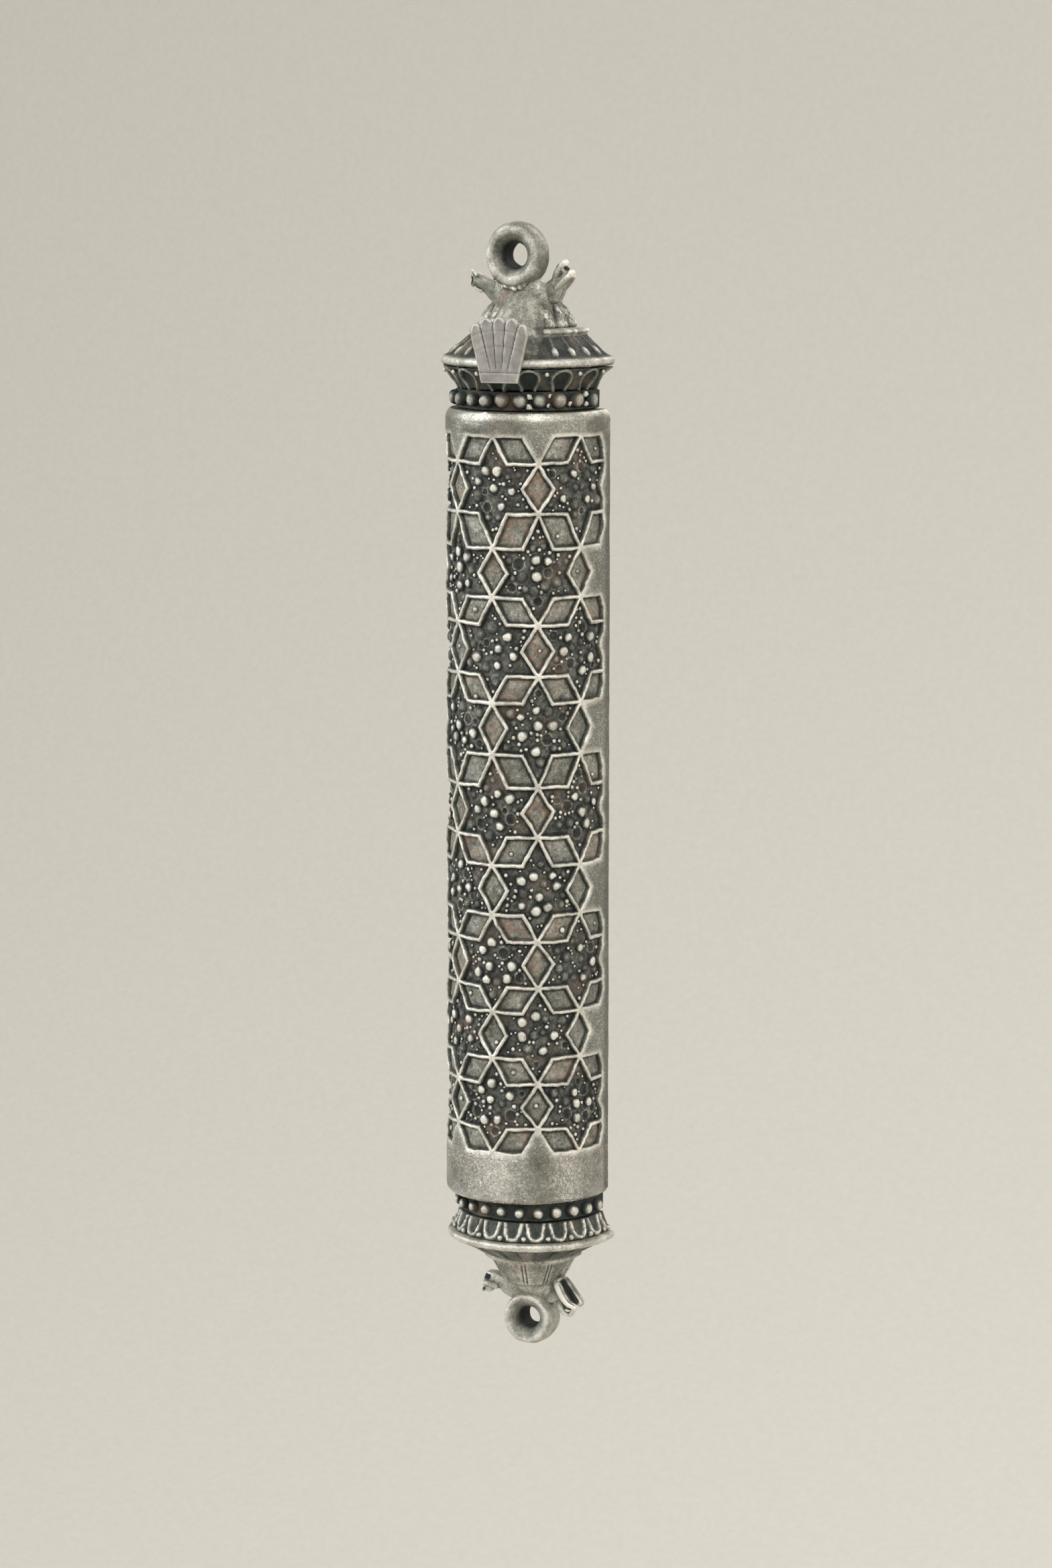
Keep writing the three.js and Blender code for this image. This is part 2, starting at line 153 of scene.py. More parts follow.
# ------------------------------------------------------------------ meshes
def build(name, co, faces, mat, body, replaces=(), slot=None, smooth_deg=40, **attrs):
    """co in mm. faces are index tuples. attrs are one float per vertex."""
    me = bpy.data.meshes.new(name)
    co = np.asarray(co, float) * MM
    me.from_pydata([tuple(p) for p in co.tolist()], [], [tuple(int(i) for i in f) for f in faces])
    me.validate(verbose=False)
    for key, values in attrs.items():
        a = me.attributes.new(key, "FLOAT", "POINT")
        a.data.foreach_set("value", np.asarray(values, np.float32).ravel())
    me.update()
    me.shade_smooth()
    if smooth_deg < 180:
        me.set_sharp_from_angle(angle=math.radians(smooth_deg))
    o = bpy.data.objects.new(name, me)
    bpy.context.scene.collection.objects.link(o)
    me.materials.append(mat)
    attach(o, body)
    if replaces:
        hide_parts(*replaces)
    return o


class Soup:
    """Collects separate closed solids that make one piece."""

    def __init__(self):
        self.co, self.faces, self.wear, self.n = [], [], [], 0

    def add(self, co, faces, wear):
        co = np.asarray(co, float).reshape(-1, 3)
        self.co.append(co)
        self.faces.extend([tuple(i + self.n for i in f) for f in faces])
        self.wear.append(np.broadcast_to(np.asarray(wear, float), (len(co),)))
        self.n += len(co)

    def arrays(self):
        return np.concatenate(self.co), self.faces, np.concatenate(self.wear)


def grid_faces(nu, nv, wrap_u=False, wrap_v=False, flip=False):
    out = []
    for i in range(nu if wrap_u else nu - 1):
        for j in range(nv if wrap_v else nv - 1):
            a, b = i * nv + j, ((i + 1) % nu) * nv + j
            c, d = ((i + 1) % nu) * nv + (j + 1) % nv, i * nv + (j + 1) % nv
            out.append((a, d, c, b) if flip else (a, b, c, d))
    return out


# ------------------------------------------------------------------ the half-round section
YC, RIM = -2.2, -0.2
T_END = 101.2  # degrees round the section; past 90 it runs straight back, 11.2 degrees standing for 2 mm


def section(t, r, z, dx=0.0):
    """Point and outward direction on the half-round section at t degrees from the front."""
    t = np.asarray(t, float)
    th = np.radians(np.clip(t, -90, 90))
    straight = np.clip(np.abs(t) - 90, 0, None) * (2.0 / 11.2)
    n = np.stack(np.broadcast_arrays(np.sin(th), -np.cos(th), 0 * th), -1)
    x, y, z = np.broadcast_arrays(r * np.sin(th) + dx, YC - r * np.cos(th) + straight, z)
    return np.stack([x, y, z], -1), n


def polyline(points, step):
    """Resamples [(r, z), ...] at about step mm, keeping the corners; returns the points, the outward normals and the length along it."""
    p = np.asarray(points, float)
    out = [p[0]]
    for a, b in zip(p[:-1], p[1:]):
        k = max(1, int(round(np.hypot(*(b - a)) / step)))
        out += [a + (b - a) * (i + 1) / k for i in range(k)]
    out = np.array(out)
    d = np.gradient(out, axis=0)
    d /= np.maximum(np.hypot(d[:, 0], d[:, 1])[:, None], 1e-9)
    n = np.stack([d[:, 1], -d[:, 0]], -1)
    s = np.concatenate([[0], np.cumsum(np.hypot(*np.diff(out, axis=0).T))])
    return out, n, s


def catmull(points, per=6, closed=False):
    p = np.asarray(points, float)
    n = len(p)
    out = []
    for i in range(n if closed else n - 1):
        a, b, c, d = (p[(i + k) % n] if closed else p[min(max(i + k, 0), n - 1)] for k in (-1, 0, 1, 2))
        for t in np.linspace(0, 1, per, endpoint=False):
            out.append(0.5 * (2 * b + (c - a) * t + (2 * a - 5 * b + 4 * c - d) * t**2 + (3 * b - a - 3 * c + d) * t**3))
    if not closed:
        out.append(p[-1])
    return np.array(out)


def moulding_solid(outline, relief, dt=0.6, step=0.12):
    """A half-round moulding: outline [(r, z)] from bottom to top. relief(t, s, r, z) gives the height along the normal and the wear."""
    P, N, s = polyline(outline, step)
    t = np.linspace(-T_END, T_END, int(2 * T_END / dt) + 1)
    T, S = np.meshgrid(t, s, indexing="ij")
    r, z = np.broadcast_to(P[:, 0], T.shape), np.broadcast_to(P[:, 1], T.shape)
    d, wear = relief(T, S, r, z)
    R, Z = r + N[:, 0] * d, z + N[:, 1] * d
    co, _ = section(T, R, Z)
    co[..., 1] = np.minimum(co[..., 1], RIM)
    nt, nv = T.shape
    faces = grid_faces(nt, nv)
    co = co.reshape(-1, 3)
    wear = np.array(np.broadcast_to(wear, T.shape), float).reshape(-1)
    # back face
    faces += [((nt - 1) * nv + j, j, j + 1, (nt - 1) * nv + j + 1) for j in range(nv - 1)]
    # end caps
    for j, up in ((0, False), (nv - 1, True)):
        ring = [i * nv + j for i in range(nt)]
        co = np.vstack([co, co[ring].mean(0)])
        wear = np.append(wear, 0.2)
        k = len(co) - 1
        for a, b in zip(ring, ring[1:] + ring[:1]):
            faces.append((k, a, b) if up else (k, b, a))
    return co, faces, wear


def moulding(name, outline, relief, mat, nodes, dt=0.6, step=0.12, extra=None, slot="antique_pewter", dx=0.0, **kw):
    soup = Soup()
    soup.add(*moulding_solid(outline, relief, dt, step))
    if extra is not None:
        extra(soup)
    co, faces, wear = soup.arrays()
    return build(name, co + np.array([dx, 0, 0]), faces, mat, "case_front", nodes, slot, wear=wear, **kw)


def fused(parts, voxel=0.085, steps=6):
    """One skin round several overlapping solids [(co, faces), ...]: points, faces, outward directions, and how hollow each point sits (mm, ridges negative)."""
    co, faces, n = [], [], 0
    for c, f in parts:
        co.append(np.asarray(c, float))
        faces += [tuple(int(i) + n for i in g) for g in f]
        n += len(c)
    me = bpy.data.meshes.new("fuse")
    me.from_pydata(np.concatenate(co).tolist(), [], faces)
    o = bpy.data.objects.new("fuse", me)
    bpy.context.scene.collection.objects.link(o)
    m = o.modifiers.new("remesh", "REMESH")
    m.mode, m.voxel_size, m.adaptivity = "VOXEL", voxel, 0.0
    m = o.modifiers.new("smooth", "SMOOTH")
    m.factor, m.iterations = 0.5, steps
    out = bpy.data.meshes.new_from_object(o.evaluated_get(bpy.context.evaluated_depsgraph_get()))
    nv = len(out.vertices)
    p, q = np.zeros(nv * 3, np.float32), np.zeros(nv * 3, np.float32)
    out.vertices.foreach_get("co", p)
    out.vertex_normals.foreach_get("vector", q)
    e = np.zeros(len(out.edges) * 2, np.int32)
    out.edges.foreach_get("vertices", e)
    faces = [tuple(f.vertices) for f in out.polygons]
    p, q, e = p.reshape(-1, 3).astype(float), q.reshape(-1, 3).astype(float), e.reshape(-1, 2)
    bpy.data.objects.remove(o)
    bpy.data.meshes.remove(me)
    bpy.data.meshes.remove(out)
    deg = np.bincount(e.ravel(), minlength=nv)[:, None].clip(1)
    avg = p
    for _ in range(14):
        acc = np.stack([np.bincount(e[:, 0], avg[e[:, 1], k], nv) + np.bincount(e[:, 1], avg[e[:, 0], k], nv) for k in range(3)], 1)
        avg = acc / deg
    return p, faces, q, ((avg - p) * q).sum(1)


def fused_piece(name, nodes, parts, wear, mat, lumps=0.0, slot="antique_pewter", voxel=0.085, steps=6, hollow=3.0, seed=0):
    co, faces, nrm, cav = fused(parts, voxel, steps)
    w = wear(co, nrm) if callable(wear) else wear
    w = w - hollow * np.clip(cav, -0.09, 0.14)
    if lumps:
        co = co + nrm * (lumps * noise(co[:, 0], co[:, 1], co[:, 2], 0.55, seed) + lumps * noise(co[:, 0], co[:, 1], co[:, 2], 1.5, seed + 1))[:, None]
    return build(name, co, faces, mat, "case_front", nodes, slot, smooth_deg=180, wear=w)


def loft(sections, k=48, power=2.0):
    """A closed solid through ellipses [(z, cx, cy, rx, ry), ...] from bottom to top."""
    q = catmull(sections, 5)
    a = np.linspace(0, 2 * math.pi, k, endpoint=False)
    A, I = np.meshgrid(a, np.arange(len(q)), indexing="ij")
    ca, sa = np.cos(A), np.sin(A)
    X = q[I, 1] + q[I, 3] * np.sign(ca) * np.abs(ca) ** (2 / power)
    Y = q[I, 2] + q[I, 4] * np.sign(sa) * np.abs(sa) ** (2 / power)
    co = np.stack([X, np.minimum(Y, RIM - 0.05), q[I, 0]], -1).reshape(-1, 3)
    faces = grid_faces(k, len(q), wrap_u=True)
    n = len(q)
    faces += [tuple(i * n for i in range(k))[::-1], tuple(i * n + n - 1 for i in range(k))]
    return co, faces


def tube(points, radii, k=16):
    """A rod along [(x, y, z), ...] with round ends; radii is one number per point."""
    p = catmull([tuple(q) + (r,) for q, r in zip(points, radii)], 5)
    co, rad = p[:, :3], p[:, 3]
    d = np.gradient(co, axis=0)
    d /= np.linalg.norm(d, axis=1)[:, None]
    side = np.cross(d, [0.0, 1.0, 0.0])
    side /= np.maximum(np.linalg.norm(side, axis=1)[:, None], 1e-9)
    up = np.cross(d, side)
    a = np.linspace(0, 2 * math.pi, k, endpoint=False)
    ring = np.stack([co + rad[:, None] * (np.cos(t) * side + np.sin(t) * up) for t in a])
    faces = grid_faces(k, len(co), wrap_u=True)
    n = len(co)
    faces += [tuple(i * n for i in range(k))[::-1], tuple(i * n + n - 1 for i in range(k))]
    return [(ring.reshape(-1, 3), faces), ball(co[0], rad[0], 16, 10), ball(co[-1], rad[-1], 16, 10)]


def ball(center, radius, seg=18, rings=12, squash=(1, 1, 1), lumpy=0.0, seed=0):
    u = np.linspace(0, 2 * math.pi, seg, endpoint=False)
    v = np.linspace(0, math.pi, rings + 1)[1:-1]
    U, V = np.meshgrid(u, v, indexing="ij")
    p = np.stack([np.cos(U) * np.sin(V), np.sin(U) * np.sin(V), np.cos(V)], -1).reshape(-1, 3)
    p = np.vstack([p, [[0, 0, 1], [0, 0, -1]]])
    c = np.asarray(center, float)
    k = 1 + lumpy * noise(p[:, 0] + c[0] * 3, p[:, 1] + c[1] * 3, p[:, 2] + c[2] * 3, 0.7, seed)
    co = c + p * k[:, None] * radius * np.asarray(squash, float)
    nv = len(v)
    faces = grid_faces(seg, nv, wrap_u=True, flip=True)
    top, bottom = seg * nv, seg * nv + 1
    for i in range(seg):
        j = (i + 1) % seg
        faces += [(top, i * nv, j * nv), (bottom, j * nv + nv - 1, i * nv + nv - 1)]
    return co, faces


def section_ball(soup, t, r, z, radius, wear=(0.35, 1.0), lumpy=0.06, seed=0, seg=18, rings=12, flat=1.0, top=(-0.25, 0.75)):
    """A bead on the half-round: brighter on its outer side than at its root."""
    c, n = section(t, r, z)
    co, faces = ball((0, 0, 0), radius, seg, rings, lumpy=lumpy, seed=seed)
    if flat != 1.0:
        co = co - np.outer(co @ n, n) * (1 - flat)
    out = (co @ n) / radius
    soup.add(co + c, faces, wear[0] + (wear[1] - wear[0]) * smooth(top[0], top[1], out))


# ------------------------------------------------------------------ materials
class Nodes:
    def __init__(self, name):
        self.mat = bpy.data.materials.new(name)
        self.mat.use_nodes = True
        self.t = self.mat.node_tree
        self.t.nodes.clear()
        self.out = self.new("ShaderNodeOutputMaterial")
        self.bsdf = self.new("ShaderNodeBsdfPrincipled")
        self.link(self.bsdf.outputs[0], self.out.inputs[0])
        self.coord = self.new("ShaderNodeTexCoord").outputs["Object"]

    def new(self, kind, **props):
        n = self.t.nodes.new(kind)
        for k, v in props.items():
            setattr(n, k, v)
        return n

    def link(self, a, b):
        self.t.links.new(a, b)

    def math(self, op, a, b=None, c=None, clamp=False):
        n = self.new("ShaderNodeMath", operation=op, use_clamp=clamp)
        for i, v in enumerate((a, b, c)):
            if v is None:
                continue
            if isinstance(v, (int, float)):
                n.inputs[i].default_value = v
            else:
                self.link(v, n.inputs[i])
        return n.outputs[0]

    def noise(self, size_mm, detail=3.0, rough=0.55, distort=0.0, stretch=None, coord=None):
        """Noise with features about size_mm across, 0 to 1. stretch scales the coordinates first."""
        src = coord or self.coord
        if stretch:
            m = self.new("ShaderNodeMapping")
            m.inputs["Scale"].default_value = stretch
            self.link(src, m.inputs["Vector"])
            src = m.outputs[0]
        n = self.new("ShaderNodeTexNoise")
        n.inputs["Scale"].default_value = 1000.0 / size_mm
        n.inputs["Detail"].default_value = detail
        n.inputs["Roughness"].default_value = rough
        n.inputs["Distortion"].default_value = distort
        self.link(src, n.inputs["Vector"])
        return n.outputs[0]

    def voronoi(self, size_mm, feature="F1", randomness=1.0):
        n = self.new("ShaderNodeTexVoronoi", feature=feature)
        n.inputs["Scale"].default_value = 1000.0 / size_mm
        n.inputs["Randomness"].default_value = randomness
        self.link(self.coord, n.inputs["Vector"])
        return n.outputs["Distance"]

    def attr(self, name):
        n = self.new("ShaderNodeAttribute", attribute_type="GEOMETRY", attribute_name=name)
        return n.outputs["Fac"]

    def ramp(self, fac, stops, interpolation="LINEAR"):
        n = self.new("ShaderNodeValToRGB")
        cr = n.color_ramp
        cr.interpolation = interpolation
        while len(cr.elements) < len(stops):
            cr.elements.new(0.5)
        for e, (pos, col) in zip(cr.elements, stops):
            e.position = pos
            e.color = (col, col, col, 1) if isinstance(col, (int, float)) else (*col, 1)
        self.link(fac, n.inputs[0])
        return n.outputs[0]

    def mix(self, fac, a, b, blend="MIX"):
        n = self.new("ShaderNodeMix", data_type="RGBA", blend_type=blend)
        for sock, v in ((n.inputs["Factor"], fac), (n.inputs[6], a), (n.inputs[7], b)):
            if isinstance(v, (int, float)):
                sock.default_value = v
            elif isinstance(v, tuple):
                sock.default_value = (*v, 1)
            else:
                self.link(v, sock)
        return n.outputs[2]

    def bump(self, height, dist_mm, strength=1.0, normal=None):
        n = self.new("ShaderNodeBump")
        n.inputs["Strength"].default_value = strength
        n.inputs["Distance"].default_value = dist_mm * MM
        self.link(height, n.inputs["Height"])
        if normal is not None:
            self.link(normal, n.inputs["Normal"])
        return n.outputs[0]

    def use(self, color=None, rough=None, metal=None, normal=None):
        for v, key in ((color, "Base Color"), (rough, "Roughness"), (metal, "Metallic"), (normal, "Normal")):
            if v is None:
                continue
            if isinstance(v, tuple):
                self.bsdf.inputs[key].default_value = (*v, 1)
            elif isinstance(v, (int, float)):
                self.bsdf.inputs[key].default_value = v
            else:
                self.link(v, self.bsdf.inputs[key])
        return self.mat


def srgb(r, g, b):
    return tuple((c / 255 / 12.92) if c / 255 <= 0.04045 else ((c / 255 + 0.055) / 1.055) ** 2.4 for c in (r, g, b))


BRIGHT = srgb(222, 219, 210)
WORN = srgb(190, 188, 179)
MID = srgb(138, 137, 127)
DULL = srgb(88, 90, 83)
DARK = srgb(46, 49, 46)
BLACK = srgb(17, 20, 20)


def pewter(name, shift=0.0, tint=None, tint_amount=0.0, speckle=0.30, pit_mm=0.16, pit=0.06, rough=(0.85, 0.46), rosy_amount=0.30, metal_top=0.62):
    """Antiqued pewter: the wear attribute says how far the dark finish has been rubbed off, and on some pieces it also
    carries painted shade and painted light.
    """
    m = Nodes(name)
    wear = m.attr("wear")
    coarse = m.noise(1.3, 3.0, 0.6)
    fine = m.noise(0.30, 3.0, 0.65)
    grit = m.noise(0.11, 2.0, 0.6)
    w = m.math("MULTIPLY_ADD", m.math("SUBTRACT", coarse, 0.5), 0.36, wear)
    w = m.math("MULTIPLY_ADD", m.math("SUBTRACT", fine, 0.5), speckle * 1.9, w)
    w = m.math("MULTIPLY_ADD", m.math("SUBTRACT", grit, 0.5), speckle * 2.1, w)
    w = m.math("ADD", w, shift, clamp=True)
    color = m.ramp(w, [(0.0, BLACK), (0.2, DARK), (0.42, DULL), (0.62, MID), (0.82, WORN), (1.0, BRIGHT)])
    rosy = m.ramp(m.noise(3.4, 2.0, 0.5), [(0.55, 0.0), (0.72, 1.0)])
    color = m.mix(m.math("MULTIPLY", rosy, rosy_amount), color, srgb(152, 126, 108))
    green = m.ramp(m.noise(4.6, 2.0, 0.5), [(0.56, 0.0), (0.74, 1.0)])
    color = m.mix(m.math("MULTIPLY", green, 0.18), color, srgb(70, 82, 74))
    if tint:
        color = m.mix(tint_amount, color, tint)
    metal = m.ramp(w, [(0.1, 0.10), (0.45, metal_top * 0.7), (0.8, metal_top)])
    roughness = m.ramp(w, [(0.1, rough[0]), (0.5, (rough[0] + rough[1]) / 2), (0.9, rough[1])])
    pits = m.noise(pit_mm, 3.0, 0.6)
    lumps = m.noise(0.6, 2.0, 0.5)
    h = m.math("MULTIPLY_ADD", lumps, 0.8, pits)
    n = m.bump(h, pit, 1.0)
    return m, color, roughness, metal, n, w


def ground_material():
    m, color, rough, metal, n, w = pewter("ground_pewter", speckle=0.30, pit_mm=0.14, pit=0.07, rough=(0.80, 0.48), rosy_amount=0.22, metal_top=0.5)
    color = m.mix(m.math("MULTIPLY", m.attr("copper"), m.ramp(m.noise(1.1, 3.0, 0.6), [(0.42, 0.0), (0.64, 0.44)])), color, srgb(168, 128, 104))
    return m.use(color, rough, metal, n)


def plain_pewter(name, **kw):
    m, c, r, me, n, _ = pewter(name, **kw)
    return m.use(c, r, me, n)


MAT_CAST = plain_pewter("cast_pewter")
MAT_CORNICE = plain_pewter("cornice_pewter", shift=-0.03, tint=srgb(44, 62, 56), tint_amount=0.14)
MAT_RING = plain_pewter("ring_pewter", speckle=0.20, pit_mm=0.3, pit=0.08, rough=(0.8, 0.55), rosy_amount=0.0, metal_top=0.5)
MAT_GROUND = ground_material()


def sleeve_material():
    m, color, rough, metal, _, w = pewter("sleeve_pewter", speckle=0.26, rosy_amount=0.14)
    brushed, worms, stipple = m.attr("brushed"), m.attr("worms"), m.attr("stipple")
    lines = m.noise(0.22, 3.0, 0.7, stretch=(0.12, 0.12, 1.0))
    scratch = m.ramp(m.noise(0.9, 5.0, 0.75, stretch=(0.2, 0.2, 1.0)), [(0.30, 0.0), (0.46, 1.0)])
    curl = m.noise(0.55, 1.0, 0.4, distort=0.9)
    worm = m.math("SINE", m.math("MULTIPLY", curl, 64.0))
    worm = m.math("MULTIPLY_ADD", worm, 0.5, 0.5)
    worm = m.math("MULTIPLY_ADD", m.noise(0.12, 2.0, 0.6), 0.55, m.math("MULTIPLY", worm, 0.6))
    dots = m.ramp(m.voronoi(0.29), [(0.10, 1.0), (0.48, 0.0)])
    dark = m.math("MULTIPLY", worms, m.math("SUBTRACT", 1.0, worm))
    dark = m.math("MULTIPLY_ADD", m.math("MULTIPLY", stipple, 1.6), m.math("SUBTRACT", 1.0, dots), dark)
    dark = m.math("MULTIPLY_ADD", m.math("MULTIPLY", brushed, 0.55), m.math("SUBTRACT", 1.0, scratch), dark)
    color = m.mix(m.math("MULTIPLY", dark, 0.40), color, srgb(84, 86, 80))
    band = m.math("MAXIMUM", worms, brushed)
    rough = m.math("MULTIPLY_ADD", band, -0.20, rough)
    metal = m.math("MULTIPLY_ADD", band, 0.30, metal, clamp=True)
    h = m.math("MULTIPLY", worms, worm)
    h = m.math("MULTIPLY_ADD", stipple, dots, h)
    h = m.math("MULTIPLY_ADD", m.math("MULTIPLY", brushed, 0.45), lines, h)
    n1 = m.bump(m.noise(0.15, 3.0, 0.6), 0.045, 1.0)
    n2 = m.bump(h, 0.075, 0.9, n1)
    return m.use(color, rough, metal, n2)


MAT_SLEEVE = sleeve_material()


def plaque_material():
    m, color, rough, metal, _, w = pewter("plaque_pewter", speckle=0.07, tint=srgb(172, 166, 168), tint_amount=0.35, rosy_amount=0.0)
    lines = m.noise(0.16, 4.0, 0.7, stretch=(1.0, 1.0, 0.06))
    n1 = m.bump(lines, 0.035, 0.9)
    color = m.mix(m.math("MULTIPLY", m.ramp(lines, [(0.35, 1.0), (0.6, 0.0)]), 0.25), color, srgb(120, 114, 112))
    return m.use(color, 0.46, 0.6, n1)


MAT_PLAQUE = plaque_material()


def simple(name, light, dark, size, rough, metal, bump_mm, stretch=None, detail=4.0, more=None):
    m = Nodes(name)
    n = m.noise(size, detail, 0.6, stretch=stretch)
    color = m.mix(m.ramp(n, [(0.3, 0.0), (0.7, 1.0)]), dark, light)
    r = m.ramp(m.noise(size * 3, 2.0), [(0.3, max(0.02, rough - 0.08)), (0.7, min(1.0, rough + 0.08))])
    m.use(color, r, metal, m.bump(n, bump_mm, 0.9))
    if more:
        more(m)
    return m.mat


MAT_PLATE = simple("rolled_plate", srgb(172, 170, 164), srgb(128, 126, 119), 0.35, 0.42, 0.85, 0.012, stretch=(1.0, 1.0, 0.05))
MAT_SHELL_IN = simple("shell_inside", srgb(122, 119, 108), srgb(66, 65, 58), 0.9, 0.62, 0.7, 0.05)
MAT_STEEL = simple("spring_steel", srgb(190, 190, 188), srgb(146, 147, 147), 0.25, 0.3, 0.95, 0.006, stretch=(0.08, 1.0, 1.0))
MAT_FOAM = simple("foam_tape", srgb(232, 230, 222), srgb(204, 201, 190), 0.45, 0.92, 0.0, 0.09)
MAT_PARCHMENT = simple("parchment", srgb(228, 208, 166), srgb(198, 170, 122), 3.0, 0.72, 0.0, 0.05, detail=6.0)


def film_more(m):
    m.bsdf.inputs["Transmission Weight"].default_value = 0.92
    m.bsdf.inputs["IOR"].default_value = 1.3


MAT_FILM = simple("clear_film", srgb(246, 249, 250), srgb(232, 240, 242), 6.0, 0.12, 0.0, 0.02, more=film_more)


def stage_material(name, a, b):
    m = Nodes(name)
    n = m.noise(3.0, 6.0, 0.7)
    color = m.mix(m.ramp(n, [(0.35, 0.0), (0.65, 1.0)]), a, b)
    return m.use(color, 0.9, 0.0)


def stage():
    """A pale floor that sweeps up into the backdrop."""
    floor_z = CAD_BOX[0][2] - 0.45
    m = stage_material("studio_sweep", srgb(221, 217, 209), srgb(216, 212, 204))
    side = [(-9.0, floor_z), (0.7, floor_z)] + [(0.7 + 0.9 * math.sin(a), floor_z + 0.9 * (1 - math.cos(a))) for a in np.radians(np.linspace(6, 90, 15))] + [(1.6, 3.5)]
    me = bpy.data.meshes.new("sweep")
    n = len(side)
    me.from_pydata([(x, y, z) for x in (-9, 9) for y, z in side], [], [(i, i + n, i + n + 1, i + 1) for i in range(n - 1)])
    me.update()
    me.shade_smooth()
    me.materials.append(m)
    o = bpy.data.objects.new("sweep", me)
    bpy.context.scene.collection.objects.link(o)


stage()

# ------------------------------------------------------------------ star lattice
BODY_TOP, BODY_BOTTOM, SLEEVE_R, SHELL_R = 46.8, -51.2, 10.2, 9.35
COLUMN, EDGE = 33.0, 93.5
ROWS = [44.0, 40.66, 34.46, 30.28, 24.27, 20.89, 14.69, 11.35, 4.97, 0.99, -5.15, -8.75, -14.85, -18.18, -23.92, -27.02, -32.87, -36.07, -41.75, -44.85]
PER_DEG = math.radians(1) * SLEEVE_R  # mm round the sleeve for each degree


def clip_poly(pts, limit):
    inside = (lambda p: p[0] <= limit) if limit > 0 else (lambda p: p[0] >= limit)
    out = []
    for a, b in zip(pts, pts[1:] + pts[:1]):
        if inside(a):
            out.append(a)
        if inside(a) != inside(b):
            k = (limit - a[0]) / (b[0] - a[0])
            out.append((limit, a[1] + k * (b[1] - a[1])))
    return out


def inset_poly(pts, d):
    p = [np.array(q, float) for q in pts]
    area = sum(a[0] * b[1] - b[0] * a[1] for a, b in zip(p, p[1:] + p[:1]))
    if area < 0:
        p = p[::-1]
    out = []
    for a, q, b in zip(p[-1:] + p[:-1], p, p[1:] + p[:1]):
        d1, d2 = (q - a) / np.linalg.norm(q - a), (b - q) / np.linalg.norm(b - q)
        n1, n2 = np.array([-d1[1], d1[0]]), np.array([-d2[1], d2[0]])
        out.append(tuple(q + d * (n1 + n2) / (1 + n1 @ n2)))
    return out


def lattice():
    cells = []
    third = COLUMN / 3

    def add(kind, pts, centre):
        p = [(t * PER_DEG, z) for t, z in pts]
        e = EDGE * PER_DEG
        if any(q[0] > e for q in p):
            p = clip_poly(p, e)
        if any(q[0] < -e for q in p):
            p = clip_poly(p, -e)
        cells.append((kind, p, (centre[0] * PER_DEG, centre[1])))

    for i in range(1, 19, 2):
        zt, zb = ROWS[i], ROWS[i + 1]
        zm = (zt + zb) / 2
        for k in ((-1, 1) if ((i - 1) // 2) % 2 == 0 else (-2, 0, 2)):
            add("rhombus", [(k * COLUMN, zt), (k * COLUMN + third, zm), (k * COLUMN, zb), (k * COLUMN - third, zm)], (k * COLUMN, zm))
    for i in range(0, 19, 2):
        zu, zl = ROWS[i], ROWS[i + 1]
        for k in range(-3, 4):
            if (abs(k) % 2 == 0) != (i % 4 == 0):
                continue
            for s in (-1, 1):
                if abs(k + s) > 3:
                    continue
                add("rhombus", [(k * COLUMN, zu), (k * COLUMN + s * 2 * third, zu), ((k + s) * COLUMN, zl), ((k + s) * COLUMN - s * 2 * third, zl)], ((k + s / 2) * COLUMN, (zu + zl) / 2))
    for k in range(-2, 3):
        for i in range(0 if abs(k) % 2 == 0 else 2, 17, 4):
            a, b, c, d = ROWS[i : i + 4]
            m, x = (b + c) / 2, k * COLUMN
            add(
                "star",
                [(x, a), (x + third, b), (x + COLUMN, b), (x + 2 * third, m), (x + COLUMN, c), (x + third, c), (x, d), (x - third, c), (x - COLUMN, c), (x - 2 * third, m), (x - COLUMN, b), (x - third, b)],
                (x, m),
            )
    return cells


CELLS = lattice()


def segs_of(polys):
    a = np.concatenate([np.array(p) for p in polys])
    b = np.concatenate([np.roll(np.array(p), -1, axis=0) for p in polys])
    return a, b


def seg_dist(pts, a, b, chunk=4000):
    """Distance from each point to the nearest of the segments a-b."""
    out = np.full(len(pts), 1e9)
    d = b - a
    dd = np.maximum((d * d).sum(1), 1e-12)
    for i in range(0, len(pts), chunk):
        p = pts[i : i + chunk][:, None, :]
        k = np.clip(((p - a) * d).sum(2) / dd, 0, 1)
        q = p - (a + k[..., None] * d)
        out[i : i + chunk] = np.sqrt((q * q).sum(2).min(1))
    return out


def inside_poly(pts, poly):
    x, y = pts[:, 0], pts[:, 1]
    hit = np.zeros(len(pts), bool)
    p = np.array(poly)
    for (x0, y0), (x1, y1) in zip(p, np.roll(p, -1, axis=0)):
        if y0 == y1:
            continue
        c = (y0 > y) != (y1 > y)
        hit ^= c & (x < (x1 - x0) * (y - y0) / (y1 - y0) + x0)
    return hit


def divide(poly, step, closed=True):
    out = []
    pairs = list(zip(poly, poly[1:] + poly[:1])) if closed else list(zip(poly, poly[1:]))
    for a, b in pairs:
        a, b = np.array(a), np.array(b)
        k = max(1, int(round(np.linalg.norm(b - a) / step)))
        out += [tuple(a + (b - a) * i / k) for i in range(k)]
    if not closed:
        out.append(tuple(poly[-1]))
    return out


